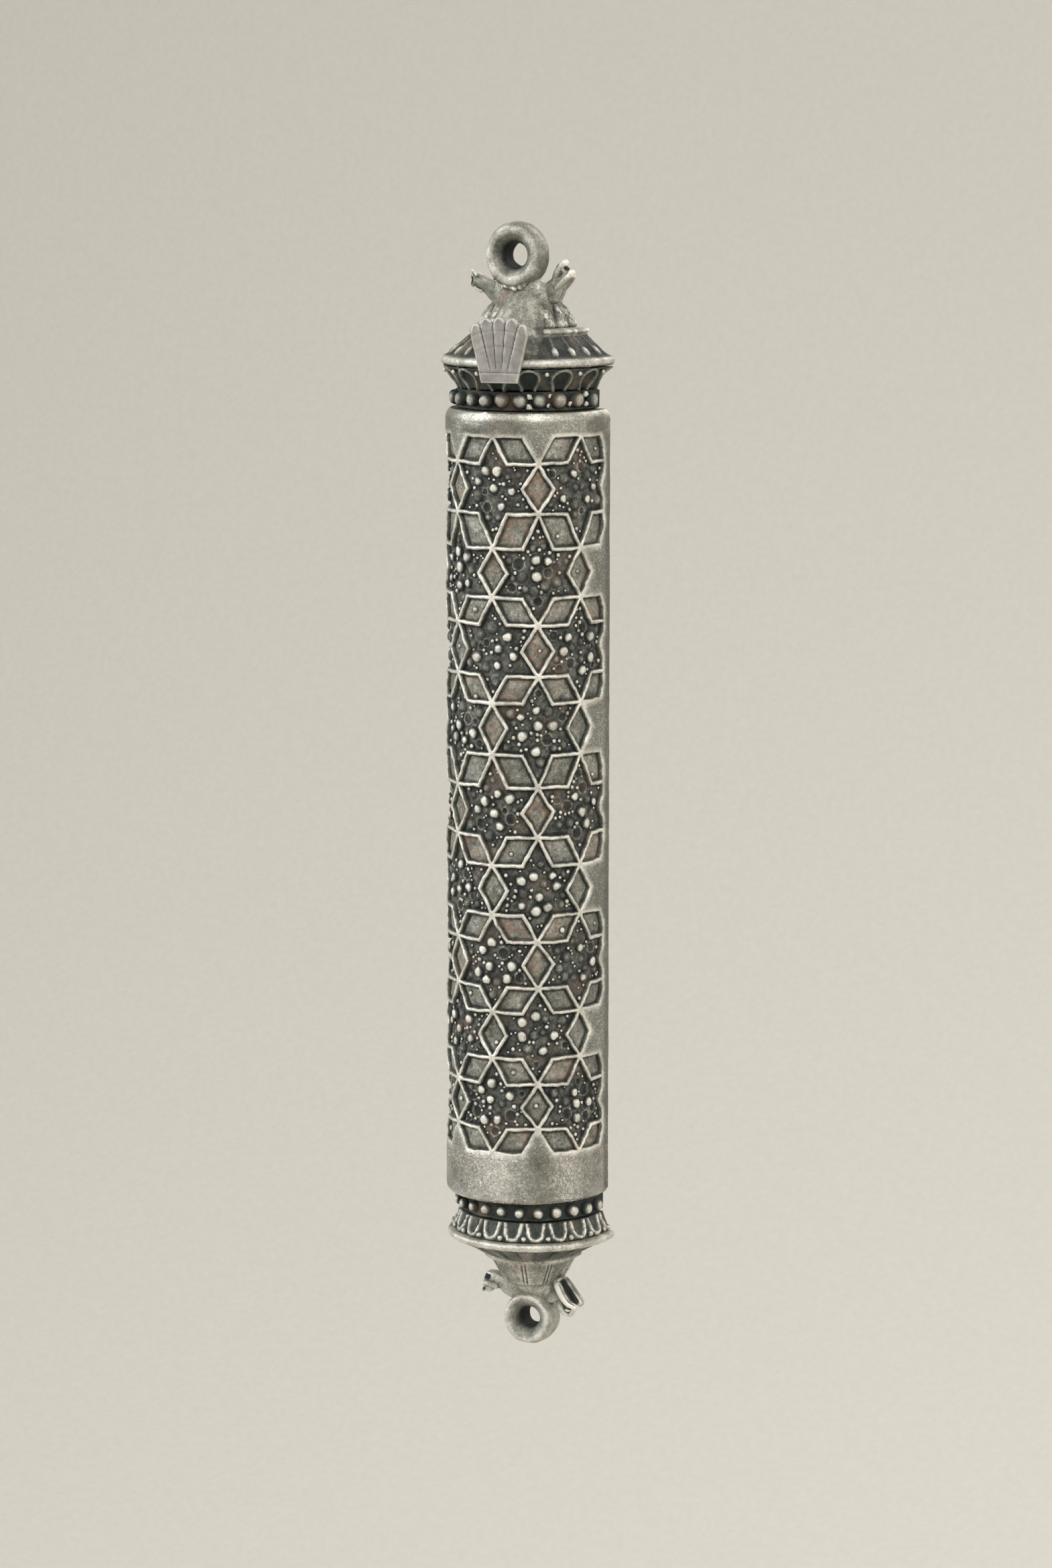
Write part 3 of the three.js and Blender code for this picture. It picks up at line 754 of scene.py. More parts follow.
def cdt(rings, points):
    """Triangulates the plane with every closed ring kept as edges."""
    verts, edges = [], []
    for ring in rings:
        s = len(verts)
        verts += ring
        edges += [(s + i, s + (i + 1) % len(ring)) for i in range(len(ring))]
    verts += points
    co, _, faces, _, _, _ = delaunay_2d_cdt([Vector(v) for v in verts], edges, [], 0, 1e-5, False)
    return np.array([tuple(v) for v in co]), np.array([f for f in faces if len(f) == 3])


def sleeve_wobble(u, z):
    """Hand-made unevenness of the lattice, in mm."""
    du = 0.12 * noise(u, z, 0, 2.6, 11) + 0.060 * noise(u, z, 0, 0.70, 12) + 0.035 * noise(u, z, 0, 0.33, 15)
    dz = 0.12 * noise(u, z, 5, 2.6, 13) + 0.060 * noise(u, z, 5, 0.70, 14) + 0.035 * noise(u, z, 5, 0.33, 16)
    return u + du, z + dz


HALF = 0.24  # half a bar's width at its foot


def make_sleeve():
    edge_u = T_END * PER_DEG
    rings, points = [], []
    holes = []
    for kind, p, c in CELLS:
        holes.append(inset_poly(p, HALF))
        rings.append(divide(holes[-1], 0.32))
        for d in (0.17, 0.085):
            rings.append(divide(inset_poly(p, d), 0.34))
    # crest points along the lattice lines
    seen = set()
    for kind, p, c in CELLS:
        for q in divide([tuple(x) for x in p], 0.34):
            key = (round(q[0], 2), round(q[1], 2))
            if key not in seen:
                seen.add(key)
                points.append(q)
    rim = divide([(-edge_u, BODY_BOTTOM), (edge_u, BODY_BOTTOM), (edge_u, BODY_TOP), (-edge_u, BODY_TOP)], 0.6)
    rings.append(rim)
    # plain bands and sides
    cell_a, cell_b = segs_of([p for _, p, _ in CELLS])
    gu, gz = np.meshgrid(np.arange(-edge_u + 0.3, edge_u - 0.2, 0.45), np.arange(BODY_BOTTOM + 0.2, BODY_TOP - 0.1, 0.45), indexing="ij")
    g = np.stack([gu.ravel(), gz.ravel()], 1)
    inside = np.zeros(len(g), bool)
    for _, p, _ in CELLS:
        inside |= inside_poly(g, p)
    g = g[~inside]
    g = g[seg_dist(g, cell_a, cell_b) > 0.25]
    extra = [tuple(q) for q in g]
    for zc in (0.12, 0.3, 0.55, 0.9):
        extra += [(u, BODY_TOP - zc) for u in np.arange(-edge_u + 0.2, edge_u - 0.1, 0.45)]
        extra += [(u, BODY_BOTTOM + zc) for u in np.arange(-edge_u + 0.2, edge_u - 0.1, 0.45)]
    co, tri = cdt(rings, points + extra)
    mid = co[tri].mean(1)
    hole = np.zeros(len(tri), bool)
    for h in holes:
        h = np.array(h)
        near = (mid[:, 0] > h[:, 0].min()) & (mid[:, 0] < h[:, 0].max()) & (mid[:, 1] > h[:, 1].min()) & (mid[:, 1] < h[:, 1].max())
        idx = np.where(near)[0]
        hole[idx[inside_poly(mid[idx], h)]] = True
    tri = tri[~hole]
    a, b = co[tri[:, 1]] - co[tri[:, 0]], co[tri[:, 2]] - co[tri[:, 0]]
    flip = a[:, 0] * b[:, 1] - a[:, 1] * b[:, 0] < 0
    tri[flip] = tri[flip][:, ::-1]

    hole_a, hole_b = segs_of(holes)
    e = seg_dist(co, hole_a, hole_b)
    crest = seg_dist(co, cell_a, cell_b)
    u, z = sleeve_wobble(co[:, 0], co[:, 1])
    at_rim = (np.abs(np.abs(co[:, 0]) - edge_u) < 1e-4) | (np.abs(co[:, 1] - BODY_TOP) < 1e-4) | (np.abs(co[:, 1] - BODY_BOTTOM) < 1e-4)
    u, z = np.where(at_rim, co[:, 0], u), np.where(at_rim, co[:, 1], z)
    round_off = -0.15 * (1 - smooth(0.0, 0.20, e)) ** 1.6
    band = smooth(0.35, 0.7, e)
    top, bot = BODY_TOP - co[:, 1], co[:, 1] - BODY_BOTTOM
    shoulder = -0.55 * np.clip(1 - top / 1.1, 0, 1) ** 2.2 - 0.40 * np.clip(1 - bot / 0.8, 0, 1) ** 2.2
    rough_h = 0.030 * noise(co[:, 0], co[:, 1], 1, 0.8, 21) + 0.05 * noise(co[:, 0], co[:, 1], 2, 4.0, 22) * band
    bar_h = (1 - band) * (0.08 * noise(co[:, 0], co[:, 1], 3, 0.5, 23) - 0.06)
    bright = 0.90 + 0.16 * noise(co[:, 0], co[:, 1], 4, 1.1, 24)
    wear_bar = bright - 0.42 * (1 - smooth(0.0, 0.13, e))
    shaded_side_strip = smooth(-0.3, 0.5, np.abs(co[:, 0]) - EDGE * PER_DEG)
    in_top = smooth(-0.6, 0.4, co[:, 1] - (ROWS[0] + 0.2))
    in_bot = smooth(-0.6, 0.4, (ROWS[-1] - 0.2) - co[:, 1])
    band_wear_and_shade = 0.73 - 0.13 * in_top + 0.20 * np.clip(1 - top / 1.3, 0, 1) + 0.20 * np.clip(1 - bot / 0.8, 0, 1) + 0.10 * noise(co[:, 0], co[:, 1], 5, 3.0, 25)
    facet = bump_at((co[:, 0] / PER_DEG - 35) / 13.0, 1.0) * in_bot
    pitted = in_top * smooth(0.0, 0.5, noise(co[:, 0], co[:, 1] * 1.6, 6, 3.2, 27)) * smooth(0.6, 1.4, top) * smooth(20, -10, co[:, 0] / PER_DEG)
    polished = in_top * bump_at((co[:, 0] / PER_DEG - 32) / 10.0, 1.0)
    # the side strips are painted darker (the -0.20 term): painted shade; the other terms are wear, pitting and polish
    band_wear_and_shade = band_wear_and_shade - 0.20 * shaded_side_strip * (1 - in_top) - 0.24 * facet - 0.16 * pitted + 0.04 * polished + 0.16 * in_bot * bump_at((co[:, 0] / PER_DEG - 58) / 14.0, 1.0) + 0.18 * in_bot * bump_at((co[:, 0] / PER_DEG - 2) / 22.0, 1.0)
    rough_h = rough_h + pitted * 0.06 * noise(co[:, 0], co[:, 1], 7, 0.5, 28)
    wear = wear_bar * (1 - band) + band_wear_and_shade * band
    h = round_off + shoulder + rough_h + bar_h - 0.02
    t = u / PER_DEG
    p, n = section(t, SLEEVE_R, z)
    pos = p + n * h[:, None]
    pos[:, 1] = np.minimum(pos[:, 1], RIM)
    brushed = in_top
    worms = band * in_bot * (1 - 0.85 * facet)
    stipple = band * (1 - in_top) * (1 - in_bot)
    faces = [tuple(f) for f in tri]
    # walls down to the shell, and the outer edge back to the rim
    from collections import defaultdict

    count = defaultdict(int)
    for f in tri:
        for i in range(3):
            count[(f[i], f[(i + 1) % 3])] += 1
    border = [(i, j) for (i, j) in count if (j, i) not in count]
    base = sorted({i for ij in border for i in ij})
    new = {v: len(pos) + k for k, v in enumerate(base)}
    bi = np.array(base)
    depth = SLEEVE_R - SHELL_R - 0.02
    pb, nb = section(u[bi] / PER_DEG, SLEEVE_R, z[bi])
    low = pb - nb * depth
    low[:, 1] = np.minimum(low[:, 1], RIM)
    pos = np.vstack([pos, low])
    faces += [(j, i, new[i], new[j]) for i, j in border]
    pad = lambda arr, v: np.concatenate([arr, np.full(len(base), v)])
    # inner skin, so that the sleeve is a closed solid
    inner_of = {}
    n_top = len(co)
    pin, nin = section(t, SLEEVE_R, z)
    inner = pin - nin * depth
    inner[:, 1] = np.minimum(inner[:, 1], RIM)
    used = sorted(set(tri.ravel().tolist()) - set(base))
    idx = {v: len(pos) + k for k, v in enumerate(used)}
    pos = np.vstack([pos, inner[used]])
    look = {**new, **idx}
    faces += [(look[f[2]], look[f[1]], look[f[0]]) for f in tri]
    total = len(pos) - len(co)
    pad = lambda arr, v: np.concatenate([arr, np.full(total, v)])
    return build(
        "lattice_sleeve_cast", pos, faces, MAT_SLEEVE, "case_front", ("lattice_sleeve",), "antique_pewter", smooth_deg=50,
        wear=pad(wear, 0.12), brushed=pad(brushed, 0), worms=pad(worms, 0), stipple=pad(stipple, 0),
    )


make_sleeve()


# ------------------------------------------------------------------ granulated ground and the shell behind it
def grains():
    """Solder grains on the shell: (u, z, radius, kind) for each star cell."""
    rng = np.random.default_rng(41)
    out = []
    for kind, p, c in CELLS:
        if kind != "star":
            continue
        hole = inset_poly(p, HALF + 0.02)
        a, b = segs_of([hole])
        box_lo, box_hi = np.array(hole).min(0), np.array(hole).max(0)
        placed = []

        def clear(q, r, gap):
            return all(math.hypot(q[0] - x, q[1] - y) > r + s * (0.72 if r < 0.3 and what in ("dome", "cup") else 1.0) + gap for x, y, s, what in placed)

        def try_put(q, r, what, gap=0.08, wall=0.10):
            q = np.array([q])
            if not inside_poly(q, hole)[0] or seg_dist(q, a, b)[0] < r + wall or not clear(q[0], r, gap):
                return False
            placed.append((q[0][0], q[0][1], r, what))
            return True

        # large grains: one in the middle or just off it, then a loose ring
        turn = rng.uniform(0, 60)
        if rng.random() < 0.75:
            try_put((c[0] + rng.normal(0, 0.35), c[1] + rng.normal(0, 0.35)), rng.uniform(0.68, 0.84), "big", 0.0)
        for k in range(7):
            for _ in range(14):
                ang = math.radians(turn + 51 * k + rng.normal(0, 10))
                rad = rng.uniform(1.7, 2.9)
                x = rng.random()
                what = "dome" if x < 0.16 else ("cup" if x < 0.28 else "big")
                r = rng.uniform(0.66, 0.82) if what in ("dome", "cup") else rng.uniform(0.62, 0.84)
                if try_put((c[0] + rad * math.cos(ang), c[1] + rad * math.sin(ang)), r, what, 0.0, 0.02):
                    break
        for _ in range(160):
            q = rng.uniform(box_lo, box_hi)
            try_put(q, rng.uniform(0.42, 0.78), "cup" if rng.random() < 0.35 else "dome", -0.02, 0.04)
        # one small ball in each star point
        for i in range(0, len(p)):
            tip = np.array(p[i])
            if 0.3 + 4.6 > np.linalg.norm(tip - np.array(c)) > 3.9:
                for k in (0.72, 0.66, 0.78):
                    q = np.array(c) + (tip - np.array(c)) * (k + rng.uniform(-0.03, 0.03)) + rng.normal(0, 0.1, 2)
                    if try_put(q, rng.uniform(0.19, 0.30), "small", 0.05, 0.04):
                        break
        n = 0
        for _ in range(900):
            q = rng.uniform(box_lo, box_hi)
            r = rng.uniform(0.14, 0.29)
            if try_put(q, r, "small", 0.03, 0.05):
                n += 1
            if n >= 24:
                break
        out += placed
    # stray grains in a few rhombi
    for kind, p, c in CELLS:
        if kind == "rhombus" and rng.random() < 0.22:
            out.append((c[0] + rng.normal(0, 0.5), c[1] + rng.normal(0, 0.4), rng.uniform(0.14, 0.4), "small"))
    return out


GRAINS = grains()


def make_ground():
    edge_u = (EDGE + 1.5) * PER_DEG
    nu, nz = (216, 560)
    U, Z = np.meshgrid(np.linspace(-edge_u, edge_u, nu), np.linspace(ROWS[-1] - 1.0, ROWS[0] + 1.0, nz), indexing="ij")
    flat = np.stack([U.ravel(), Z.ravel()], 1)
    h = 0.045 * noise(flat[:, 0], flat[:, 1], 0, 0.9, 31) + 0.04 * noise(flat[:, 0], flat[:, 1], 0, 0.35, 32) + 0.05 * noise(flat[:, 0], flat[:, 1], 0, 3.5, 33)
    # tilt of each rhombus's floor, and the ground darker beside the bars: patina with painted shade where the floor
    # meets the bars
    wall_a, wall_b = segs_of([inset_poly(p, HALF) for _, p, _ in CELLS])
    e = seg_dist(flat, wall_a, wall_b)
    star = np.zeros(len(flat), bool)
    copper = np.zeros(len(flat))
    pick = np.random.default_rng(8)
    for kind, p, _ in CELLS:
        warm = kind == "rhombus" and pick.random() < 0.34
        if kind == "star" or warm:
            q = np.array(p)
            near = np.where((flat[:, 0] > q[:, 0].min()) & (flat[:, 0] < q[:, 0].max()) & (flat[:, 1] > q[:, 1].min()) & (flat[:, 1] < q[:, 1].max()))[0]
            hit = near[inside_poly(flat[near], p)]
            if warm:
                copper[hit] = pick.uniform(0.5, 1.0)
            else:
                star[hit] = True
    wear = np.where(star, 0.33, 0.55) + 0.10 * noise(flat[:, 0], flat[:, 1], 1, 1.5, 34) + np.where(star, 0.16, 0.10) * noise(flat[:, 0], flat[:, 1], 2, 0.42, 35)
    # darker within 0.42 mm of the bars: patina with painted shade at the foot of the bars
    wear -= np.where(star, 0.30, 0.30) * (1 - smooth(0.05, 0.42, e))
    h += np.where(star, -0.05, 0.10) * smooth(0.0, 0.6, e)
    ground_wear_and_shade = wear
    # the ground is darker in a ring round each big, domed and small grain: patina at the grain's foot with painted
    # contact shade
    for gu, gz, r, what in GRAINS:
        near = np.where((np.abs(flat[:, 0] - gu) < r + 0.5) & (np.abs(flat[:, 1] - gz) < r + 0.5))[0]
        d = np.hypot(flat[near, 0] - gu, flat[near, 1] - gz)
        if what == "cup":
            h[near] += -0.16 * (1 - smooth(0.35 * r, 0.95 * r, d)) + 0.20 * bump_at(d - r, 0.15)
            ground_wear_and_shade[near] += -0.24 * (1 - smooth(0.6 * r, 0.98 * r, d)) + 0.30 * bump_at(d - r, 0.13)
        elif what == "big":
            h[near] += 0.30 * bump_at(d, r * 1.08)
            ground_wear_and_shade[near] += -0.16 * (1 - smooth(r * 0.9, r + 0.22, d))
        elif what == "dome":
            h[near] += 0.60 * r * np.sqrt(np.clip(1 - (d / r) ** 2, 0, 1))
            ground_wear_and_shade[near] += -0.20 * bump_at(d - r, 0.18) + 0.16 * (1 - smooth(0.2 * r, 0.75 * r, d))
        else:
            ground_wear_and_shade[near] -= 0.26 * (1 - smooth(r * 0.9, r + 0.26, d))
    p, n = section(U.ravel() / PER_DEG, SHELL_R + 0.17, Z.ravel())
    h = np.maximum(h, -0.12)  # never below the shell's own face
    pos = p + n * h[:, None]
    low = p - n * 0.55
    # the underside is plain: one long strip for each step round the section
    soup = Soup()
    faces = grid_faces(nu, nz)
    m = nu * nz
    low = low.reshape(nu, nz, 3)[:, [0, -1]].reshape(-1, 3)
    both = np.vstack([pos, low])
    bottom = lambda i, k: m + 2 * i + k
    for i in range(nu - 1):
        faces.append((bottom(i, 0), bottom(i, 1), bottom(i + 1, 1), bottom(i + 1, 0)))
        faces.append(((i + 1) * nz, i * nz, bottom(i, 0), bottom(i + 1, 0)))
        faces.append((i * nz + nz - 1, (i + 1) * nz + nz - 1, bottom(i + 1, 1), bottom(i, 1)))
    faces.append(tuple(range(nz)) + (bottom(0, 1), bottom(0, 0)))
    faces.append(tuple((nu - 1) * nz + j for j in range(nz - 1, -1, -1)) + (bottom(nu - 1, 0), bottom(nu - 1, 1)))
    soup.add(both, faces, np.concatenate([ground_wear_and_shade, np.full(len(low), 0.1)]))
    rng = np.random.default_rng(5)
    for gu, gz, r, what in GRAINS:
        if what in ("cup", "dome"):
            continue
        if what == "big":
            section_ball(soup, gu / PER_DEG, SHELL_R + 0.28, gz, r * 0.86, wear=(0.12, rng.uniform(0.84, 1.04)), lumpy=0.20, seed=int(rng.integers(1000)), seg=14, rings=9, flat=0.66, top=(0.20, 0.58))
        else:
            section_ball(soup, gu / PER_DEG, SHELL_R + 0.13 + 0.45 * r, gz, r, wear=(0.22, rng.uniform(0.80, 1.05)), lumpy=0.16, seed=int(rng.integers(1000)), seg=8, rings=5, flat=0.95)
    co, faces, wear = soup.arrays()
    return build("granulated_ground", co, faces, MAT_GROUND, "case_front", (), "oxidised_pewter", smooth_deg=60, wear=wear, copper=np.concatenate([copper, np.zeros(len(co) - len(copper))]))


make_ground()


def extrude_z(section_xy, z0, z1):
    """A closed outline drawn up Z, with end caps."""
    p = np.asarray(section_xy, float)
    n = len(p)
    co = np.vstack([np.c_[p, np.full(n, z0)], np.c_[p, np.full(n, z1)]])
    faces = [(i, (i + 1) % n, n + (i + 1) % n, n + i) for i in range(n)] + [tuple(range(n - 1, -1, -1)), tuple(range(n, 2 * n))]
    return co, faces


def arc(r, a0, a1, k):
    a = np.radians(np.linspace(a0, a1, k))
    return [(r * math.sin(t), YC - r * math.cos(t)) for t in a]


def make_shell():
    soup = Soup()
    outer = [(-SHELL_R, RIM)] + arc(SHELL_R, -90, 90, 73) + [(SHELL_R, RIM)]
    inner_r = 8.15
    inner = [(8.8, RIM), (8.8, -1.95), (inner_r, -1.95)] + arc(inner_r, 90, -90, 65) + [(-inner_r, -1.95), (-8.8, -1.95), (-8.8, RIM)]
    co, f = extrude_z(outer + inner, BODY_BOTTOM + 1.5, BODY_TOP - 1.5)
    soup.add(co, f, 0.4)
    for z0, z1 in ((BODY_BOTTOM, BODY_BOTTOM + 0.8), (BODY_TOP - 0.8, BODY_TOP)):
        co, f = extrude_z([(-SHELL_R, RIM)] + arc(SHELL_R, -90, 90, 73) + [(SHELL_R, RIM)], z0, z1)
        soup.add(co, f, 0.4)
    for z0, z1 in ((BODY_BOTTOM + 0.8, BODY_BOTTOM + 1.5), (BODY_TOP - 1.5, BODY_TOP - 0.8)):
        co, f = extrude_z([(-SHELL_R, RIM)] + arc(SHELL_R, -90, 90, 73) + [(SHELL_R, RIM), (8.8, RIM), (8.8, -1.95), (-8.8, -1.95), (-8.8, RIM)], z0, z1)
        soup.add(co, f, 0.4)
    co, faces, wear = soup.arrays()
    return build("front_shell_cast", co, faces, MAT_SHELL_IN, "case_front", ("front_shell",), "oxidised_pewter", smooth_deg=30, wear=wear)


make_shell()


# ------------------------------------------------------------------ upper finial
def bead_band(name, node, z0, z1, r, angles, bead_z, sizes, wear, grains_past, seed, dx=0.0):
    """A dark band of separate beads; angles in degrees, sizes in mm, one each. Small grains sit between those past grains_past degrees."""
    rng = np.random.default_rng(seed)

    def relief(T, S, R, Z):
        return 0.05 * noise(T * 0.17, Z, 0, 0.8, seed), 0.10 + 0.22 * smooth(0.7, 1.1, np.abs(Z - bead_z))

    def extra(soup):
        for i, (t, rr) in enumerate(zip(angles, sizes)):
            section_ball(soup, t, r + 0.22, bead_z + rng.normal(0, 0.05), rr, wear=wear, lumpy=0.10, seed=seed + i, seg=26, rings=18, top=(0.30, 0.98))
            if i == 0:
                continue
            gap = (angles[i - 1] + t) / 2
            if gap > grains_past:
                for dz in (-0.62, 0.60):
                    if rng.random() < 0.8:
                        section_ball(soup, gap + rng.normal(0, 1.0), r + 0.30, bead_z + dz + rng.normal(0, 0.08), rng.uniform(0.24, 0.36), wear=(0.5, 1.05), lumpy=0.7, seed=seed + 50 + 3 * i, seg=9, rings=7)

    moulding(name, [(r - 0.25, z0), (r, z0 + 0.15), (r, z1 - 0.15), (r - 0.25, z1)], relief, MAT_CORNICE, (node,), dt=1.0, step=0.15, extra=extra, dx=dx)


bead_band(
    "upper_beads", "upper_bead_collar", 46.85, 49.2, 8.75,
    [-84, -69, -54, -38.6, -22, -8, 5.5, 20, 34.5, 50, 66.5, 84],
    48.2, [0.80, 0.84, 0.86, 0.88, 0.86, 0.90, 0.92, 0.90, 0.88, 0.96, 0.94, 0.92], (0.02, 0.78), 13, 301,
)


def upper_cornice_relief(T, S, R, Z):
    """Round-headed arches, open below, in thick soft lines on a dark ground."""
    pitch = 25.2
    c = (T - 1 + pitch / 2) % pitch - pitch / 2
    x = np.radians(c) * R
    zf = (Z - 49.25) / (52.1 - 49.25)
    a, head = 1.28, 0.56
    zz = zf * 3.1
    dist = np.where(zz < head * 3.1, np.abs(np.abs(x) - a * (0.62 + 0.38 * smooth(0, head, zf))), np.abs(np.hypot(x, (zz - head * 3.1) * 1.15) - a))
    dist = dist + 0.07 * noise(T * 0.17, Z, 3, 0.4, 63)
    line = bump_at(dist, 0.40)
    inner = smooth(a, a - 0.35, np.hypot(x, np.clip(zz - head * 3.1, 0, None) * 1.15))
    d = -0.18 + 0.34 * line - 0.10 * inner + 0.03 * noise(T * 0.17, Z, 0, 0.5, 61)
    wear = 0.24 + 0.44 * line - 0.16 * inner * (1 - line) + 0.10 * noise(T * 0.17, Z, 0, 1.0, 62)
    return d, wear


def upper_cornice_extra(soup):
    for k in range(-4, 4):
        t = 1 + 25.2 * (k + 0.5)
        if abs(t) < 92:
            section_ball(soup, t, 10.16, 51.45, 0.29, wear=(0.5, 1.0), seed=k + 20, seg=14, rings=9)


moulding("upper_cornice_cast", [(8.4, 49.25), (8.75, 49.32), (9.05, 50.0), (9.6, 50.85), (10.15, 51.6), (10.5, 52.0), (10.1, 52.12)], upper_cornice_relief, MAT_CORNICE, ("upper_cornice",), dt=0.45, step=0.09, extra=upper_cornice_extra)

LOBE_T = 13.0  # the smooth front lobe stands at this angle


def roof_relief(T, S, R, Z):
    """A worn round brim, then flutes ending in teardrops, closed by a ridge that stops at the front lobe."""
    front = smooth(30, 24, np.abs(T - LOBE_T))
    slope = smooth(53.35, 53.6, Z) * smooth(56.0, 55.7, Z) * (1 - front)
    pitch = 14.6
    c = (T - 46.5 + pitch / 2) % pitch - pitch / 2
    x = np.radians(c) * R
    up = (Z - 53.3) / (56.0 - 53.3)
    drop = np.sqrt(np.clip(1 - (x / 0.46) ** 2 - ((up - 0.27) / 0.20) ** 2, 0, 1))
    rib = bump_at(x, 0.30) * smooth(0.12, 0.35, up) * (1 - 0.4 * up)
    shape = np.maximum(drop, rib * 0.6)
    d = slope * (0.34 * shape - 0.10) + 0.03 * noise(T * 0.17, Z, 0, 0.5, 71)
    brim = smooth(53.4, 53.1, Z)
    collar = smooth(55.75, 56.0, Z) * (1 - front)
    rope = noise(T * 0.12, 0, 0, 0.5, 76)
    d = d + brim * 0.05 * noise(T * 0.17, Z, 0, 1.0, 72) + collar * 0.06 * rope * smooth(56.7, 56.4, Z) - front * 0.25 * smooth(55.75, 56.0, Z)
    wear = 0.32 + 0.14 * noise(T * 0.17, Z, 0, 1.2, 73) + slope * (0.50 * drop + 0.20 * rib)
    wear = wear - 0.12 * slope * (1 - smooth(0.0, 0.4, shape))
    wear = wear * (1 - brim) + brim * (0.84 + 0.10 * noise(T * 0.17, Z, 0, 1.0, 74) - 0.4 * smooth(52.6, 52.2, Z))
    wear = wear * (1 - collar) + collar * (0.80 + 0.2 * rope)
    return d, wear


moulding(
    "roof_cast",
    [(10.0, 52.15), (10.4, 52.2), (10.66, 52.42), (10.74, 52.72), (10.66, 53.02), (10.4, 53.22), (10.1, 53.32), (9.2, 53.95), (8.2, 54.85), (7.15, 55.75), (7.02, 55.95), (7.22, 56.12), (7.28, 56.3), (7.15, 56.5), (6.85, 56.62), (6.0, 56.68)],
    roof_relief, MAT_CAST, ("roof_canopy",), dt=0.5, step=0.1, dx=0.05,
)


def bell_relief(T, S, R, Z):
    """Egg-shaped tongues with rounded tops and double grooves, closing to a smooth neck."""
    pitch = 25.0
    c = (T - 55 + pitch / 2) % pitch - pitch / 2
    up = (Z - 56.85) / 2.7
    x = c / (pitch / 2)
    egg = np.sqrt(np.clip(1 - (x / 0.72) ** 2 - np.clip((up - 0.35) / 0.62, 0, None) ** 2, 0, 1))
    outer = np.clip(1 - (x / 0.98) ** 2 - np.clip((up - 0.35) / 0.80, 0, None) ** 2, 0, 1)
    side = smooth(22, 29, np.abs(T - LOBE_T))
    zone = smooth(1.35, 1.0, up) * side
    groove = bump_at(np.sqrt(outer) - 0.30, 0.34)
    d = zone * (0.34 * egg - 0.22 * groove - 0.05) + 0.03 * noise(T * 0.17, Z, 0, 0.5, 81) + 0.05 * egg * zone * noise(T * 0.1, Z, 4, 0.28, 82)
    return d, 0.5


def lobe_solid():
    """The smooth lobe that runs from the neck down over the roof to the brim."""
    path = catmull([(2.3, 61.9), (2.9, 60.9), (3.6, 59.9), (4.3, 58.9), (5.05, 57.8), (6.05, 56.6), (7.3, 55.4), (8.45, 54.4), (9.3, 53.6), (9.7, 53.2)], 6)
    half = np.interp(np.linspace(0, 1, len(path)), [0, 0.15, 0.4, 0.65, 0.88, 1], [2.2, 2.7, 3.0, 3.5, 3.2, 2.4])
    stand = np.interp(np.linspace(0, 1, len(path)), [0, 0.15, 0.4, 0.65, 0.88, 1], [0.3, 0.8, 1.25, 1.55, 1.2, 0.5])
    a = np.linspace(-math.pi, math.pi, 49)[:-1]
    A, I = np.meshgrid(a, np.arange(len(path)), indexing="ij")
    t = LOBE_T + np.degrees(half[I] * np.sin(A) / path[I, 0])
    lift = np.where(np.cos(A) > 0, stand[I], 0.7) * np.cos(A)
    co, _ = section(t, path[I, 0] + lift * 0.8, path[I, 1] + lift * 0.6)
    n = len(path)
    faces = grid_faces(48, n, wrap_u=True)
    faces += [tuple(i * n for i in range(48))[::-1], tuple(i * n + n - 1 for i in range(48))]
    return co.reshape(-1, 3), faces


def bell_wear(co, nrm):
    x, y, z = co.T
    t = np.degrees(np.arctan2(x + 0.3, -(y - YC)))
    lobe = smooth(24, 18, np.abs(t - LOBE_T)) * smooth(60.5, 59.0, z)
    w = 0.58 + 0.14 * noise(x, y, z, 1.3, 83) + 0.10 * noise(x, y, z * 0.3, 0.45, 84)
    c = (t - 55 + 12.5) % 25.0 - 12.5
    eggs = bump_at(c / 9.5, 1.0) * smooth(59.6, 58.6, z) * smooth(56.9, 57.2, z) * (1 - lobe)
    w = w + eggs * (0.16 + 0.30 * noise(x, y, z, 0.24, 86)) - 0.08 * (1 - lobe) * smooth(60.0, 59.0, z)
    w = w + lobe * (0.02 - 0.26 * smooth(57.0, 54.2, z) * smooth(2, 26, t))
    return w - 0.22 * smooth(57.2, 56.7, z) * (1 - lobe)


co, faces, _ = moulding_solid([(5.2, 56.45), (5.65, 56.74), (5.75, 56.95), (5.5, 57.5), (4.95, 58.5), (4.25, 59.6), (3.7, 60.4), (3.2, 61.0), (2.4, 61.4)], bell_relief, 0.8, 0.1)
NECK = loft([(58.6, -0.1, -3.9, 4.3, 2.5), (59.4, -0.05, -3.9, 4.05, 2.4), (60.2, 0.0, -3.85, 3.85, 2.15), (60.9, 0.0, -3.85, 3.75, 1.9), (61.6, -0.05, -3.9, 3.6, 1.65), (62.2, -0.1, -3.9, 3.2, 1.45), (62.7, -0.15, -3.9, 2.5, 1.1)])
fused_piece("bell_cast", ("upper_bell",), [(co + np.array([-0.25, 0, 0]), faces), lobe_solid(), NECK], bell_wear, MAT_CAST, lumps=0.02, voxel=0.09, steps=9, hollow=3.6, seed=85)


